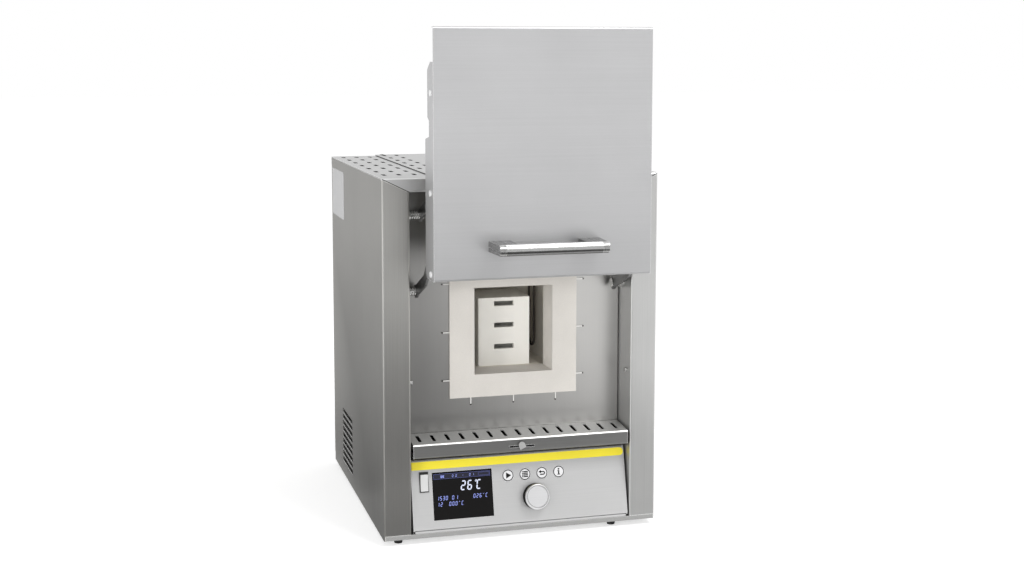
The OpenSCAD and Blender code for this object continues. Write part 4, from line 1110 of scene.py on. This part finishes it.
class FURNACE_OT_stage(bpy.types.Operator):
    """Set the camera, floor, white surround and soft lamps"""

    bl_idname = "furnace.stage"
    bl_label = "Stage"

    # The camera in the case's millimetres, and the point that the lamps face.
    CAMERA_PLACE = (-544.4, -1881.5, 661.1)
    CAMERA_SHIFT = (0.0108, -0.07)
    AIM = Vector((0, 0, 0.3))
    FLOOR_GLOW = 0.5
    # Left, right, front and back of the boards that polished steel shows, and their tones.
    FLAGS = (
        ("front_flag", (-0.9, 0.35, -1.5, -0.42), 108),
        ("side_flag", (-1.1, -0.22, 0.1, 2.8), 238),
    )

    def execute(self, context):
        stage = context.scene.furnace_stage
        self.make_camera(context, stage)
        self.make_floor()
        self.make_world(context, stage)
        self.lamp("key_lamp", stage.key_light, 1.2, (1.0, -1.8, 3.0))
        for name, power, place in (("front_lamp", stage.front_light, (-0.8, -2.5, 0.7)),
                                   ("side_lamp", stage.side_light, (-2.2, -1.9, 0.6))):
            self.lamp(name, power, 0.9, place).visible_glossy = False
        for name, board, tone in self.FLAGS:
            self.make_flag(name, board, tone)
        context.scene.view_settings.view_transform = "Standard"
        return {"FINISHED"}

    def make_camera(self, context, stage):
        data = bpy.data.cameras.new("photo_camera")
        data.sensor_width = 36
        data.lens = stage.lens
        data.shift_x, data.shift_y = self.CAMERA_SHIFT
        data.clip_start, data.clip_end = 0.05, 50
        camera = placed("photo_camera", data)
        flat = math.cos(stage.pitch)
        forward = Vector((math.sin(stage.yaw) * flat, math.cos(stage.yaw) * flat, math.sin(stage.pitch)))
        camera.location = case_point(*self.CAMERA_PLACE)
        camera.rotation_euler = forward.to_track_quat("-Z", "Y").to_euler()
        context.scene.camera = camera

    @staticmethod
    def seen(tree):
        """1 for rays from the camera, a mirror or through glass, and 0 for the rest."""
        path = tree.nodes.new("ShaderNodeLightPath")
        value = path.outputs["Is Camera Ray"]
        for other in ("Is Glossy Ray", "Is Transmission Ray"):
            value = maths(tree, "MAXIMUM", value, path.outputs[other])
        return value

    def make_floor(self):
        bm = bmesh.new()
        bmesh.ops.create_grid(bm, x_segments=1, y_segments=1, size=20)
        material = bpy.data.materials.new("pale_floor")
        tree = empty_tree(material)
        output = tree.nodes.new("ShaderNodeOutputMaterial")
        matte = tree.nodes.new("ShaderNodeBsdfDiffuse")
        matte.inputs["Color"].default_value = (0.8, 0.8, 0.8, 1)
        glow = tree.nodes.new("ShaderNodeEmission")
        tree.links.new(maths(tree, "MULTIPLY", self.seen(tree), self.FLOOR_GLOW), glow.inputs["Strength"])
        both = tree.nodes.new("ShaderNodeAddShader")
        tree.links.new(matte.outputs[0], both.inputs[0])
        tree.links.new(glow.outputs[0], both.inputs[1])
        tree.links.new(both.outputs[0], output.inputs[0])
        mesh_object(bm, "floor", material)

    @staticmethod
    def make_flag(name, board, tone):
        """A dark board lying beside the object, which only polished metal shows."""
        bm = bmesh.new()
        add_prism(bm, box_outline(*board), 0.002, 0.004)
        flag = mesh_object(bm, name, finish(name + "_grey", painted, srgb(tone, tone, tone), 0.8))
        for ray in ("camera", "diffuse", "transmission", "shadow"):
            setattr(flag, "visible_" + ray, False)

    def make_world(self, context, stage):
        world = bpy.data.worlds.new("white_surround")
        context.scene.world = world
        tree = empty_tree(world)
        output = tree.nodes.new("ShaderNodeOutputWorld")
        back = tree.nodes.new("ShaderNodeBackground")
        back.inputs["Color"].default_value = (1, 1, 1, 1)
        strength = tree.nodes.new("ShaderNodeMapRange")
        set_inputs(strength, {"To Min": stage.world_light, "To Max": 1.0})
        tree.links.new(self.seen(tree), strength.inputs["Value"])
        tree.links.new(strength.outputs["Result"], back.inputs["Strength"])
        tree.links.new(back.outputs[0], output.inputs[0])

    def lamp(self, name, power, size, place):
        data = bpy.data.lights.new(name, "AREA")
        data.shape = "DISK"
        data.size = size
        data.energy = power
        lamp = placed(name, data)
        lamp.location = place
        lamp.rotation_euler = (self.AIM - Vector(place)).to_track_quat("-Z", "Y").to_euler()
        return lamp


OPERATORS = (
    FURNACE_OT_stage,
    FURNACE_OT_case_finish,
    FURNACE_OT_control_panel,
    FURNACE_OT_display,
    FURNACE_OT_keys,
    FURNACE_OT_chamber,
    FURNACE_OT_door,
    FURNACE_OT_side_plate,
    FURNACE_OT_inner_works,
)


class FURNACE_PT_sidebar(bpy.types.Panel):
    """Lists the furnace's pieces and their settings"""

    bl_idname = "FURNACE_PT_sidebar"
    bl_label = "Furnace"
    bl_space_type = "VIEW_3D"
    bl_region_type = "UI"
    bl_category = "Furnace"

    def draw(self, context):
        for group in ("furnace_finish", "furnace_detail", "furnace_stage"):
            settings = getattr(context.scene, group)
            box = self.layout.box()
            for name in settings.__annotations__:
                box.prop(settings, name)
        for operator in OPERATORS:
            self.layout.operator(operator.bl_idname)


SETTINGS = {
    "furnace_finish": FinishSettings,
    "furnace_detail": DetailSettings,
    "furnace_stage": StageSettings,
}


def register():
    for name, group in SETTINGS.items():
        bpy.utils.register_class(group)
        setattr(bpy.types.Scene, name, PointerProperty(type=group))
    for operator in OPERATORS:
        bpy.utils.register_class(operator)
    bpy.utils.register_class(FURNACE_PT_sidebar)


def unregister():
    bpy.utils.unregister_class(FURNACE_PT_sidebar)
    for operator in reversed(OPERATORS):
        bpy.utils.unregister_class(operator)
    for name, group in reversed(SETTINGS.items()):
        delattr(bpy.types.Scene, name)
        bpy.utils.unregister_class(group)


def main():
    register()
    for operator in OPERATORS:
        family, action = operator.bl_idname.split(".")
        getattr(getattr(bpy.ops, family), action)()


if __name__ == "__main__":
    main()
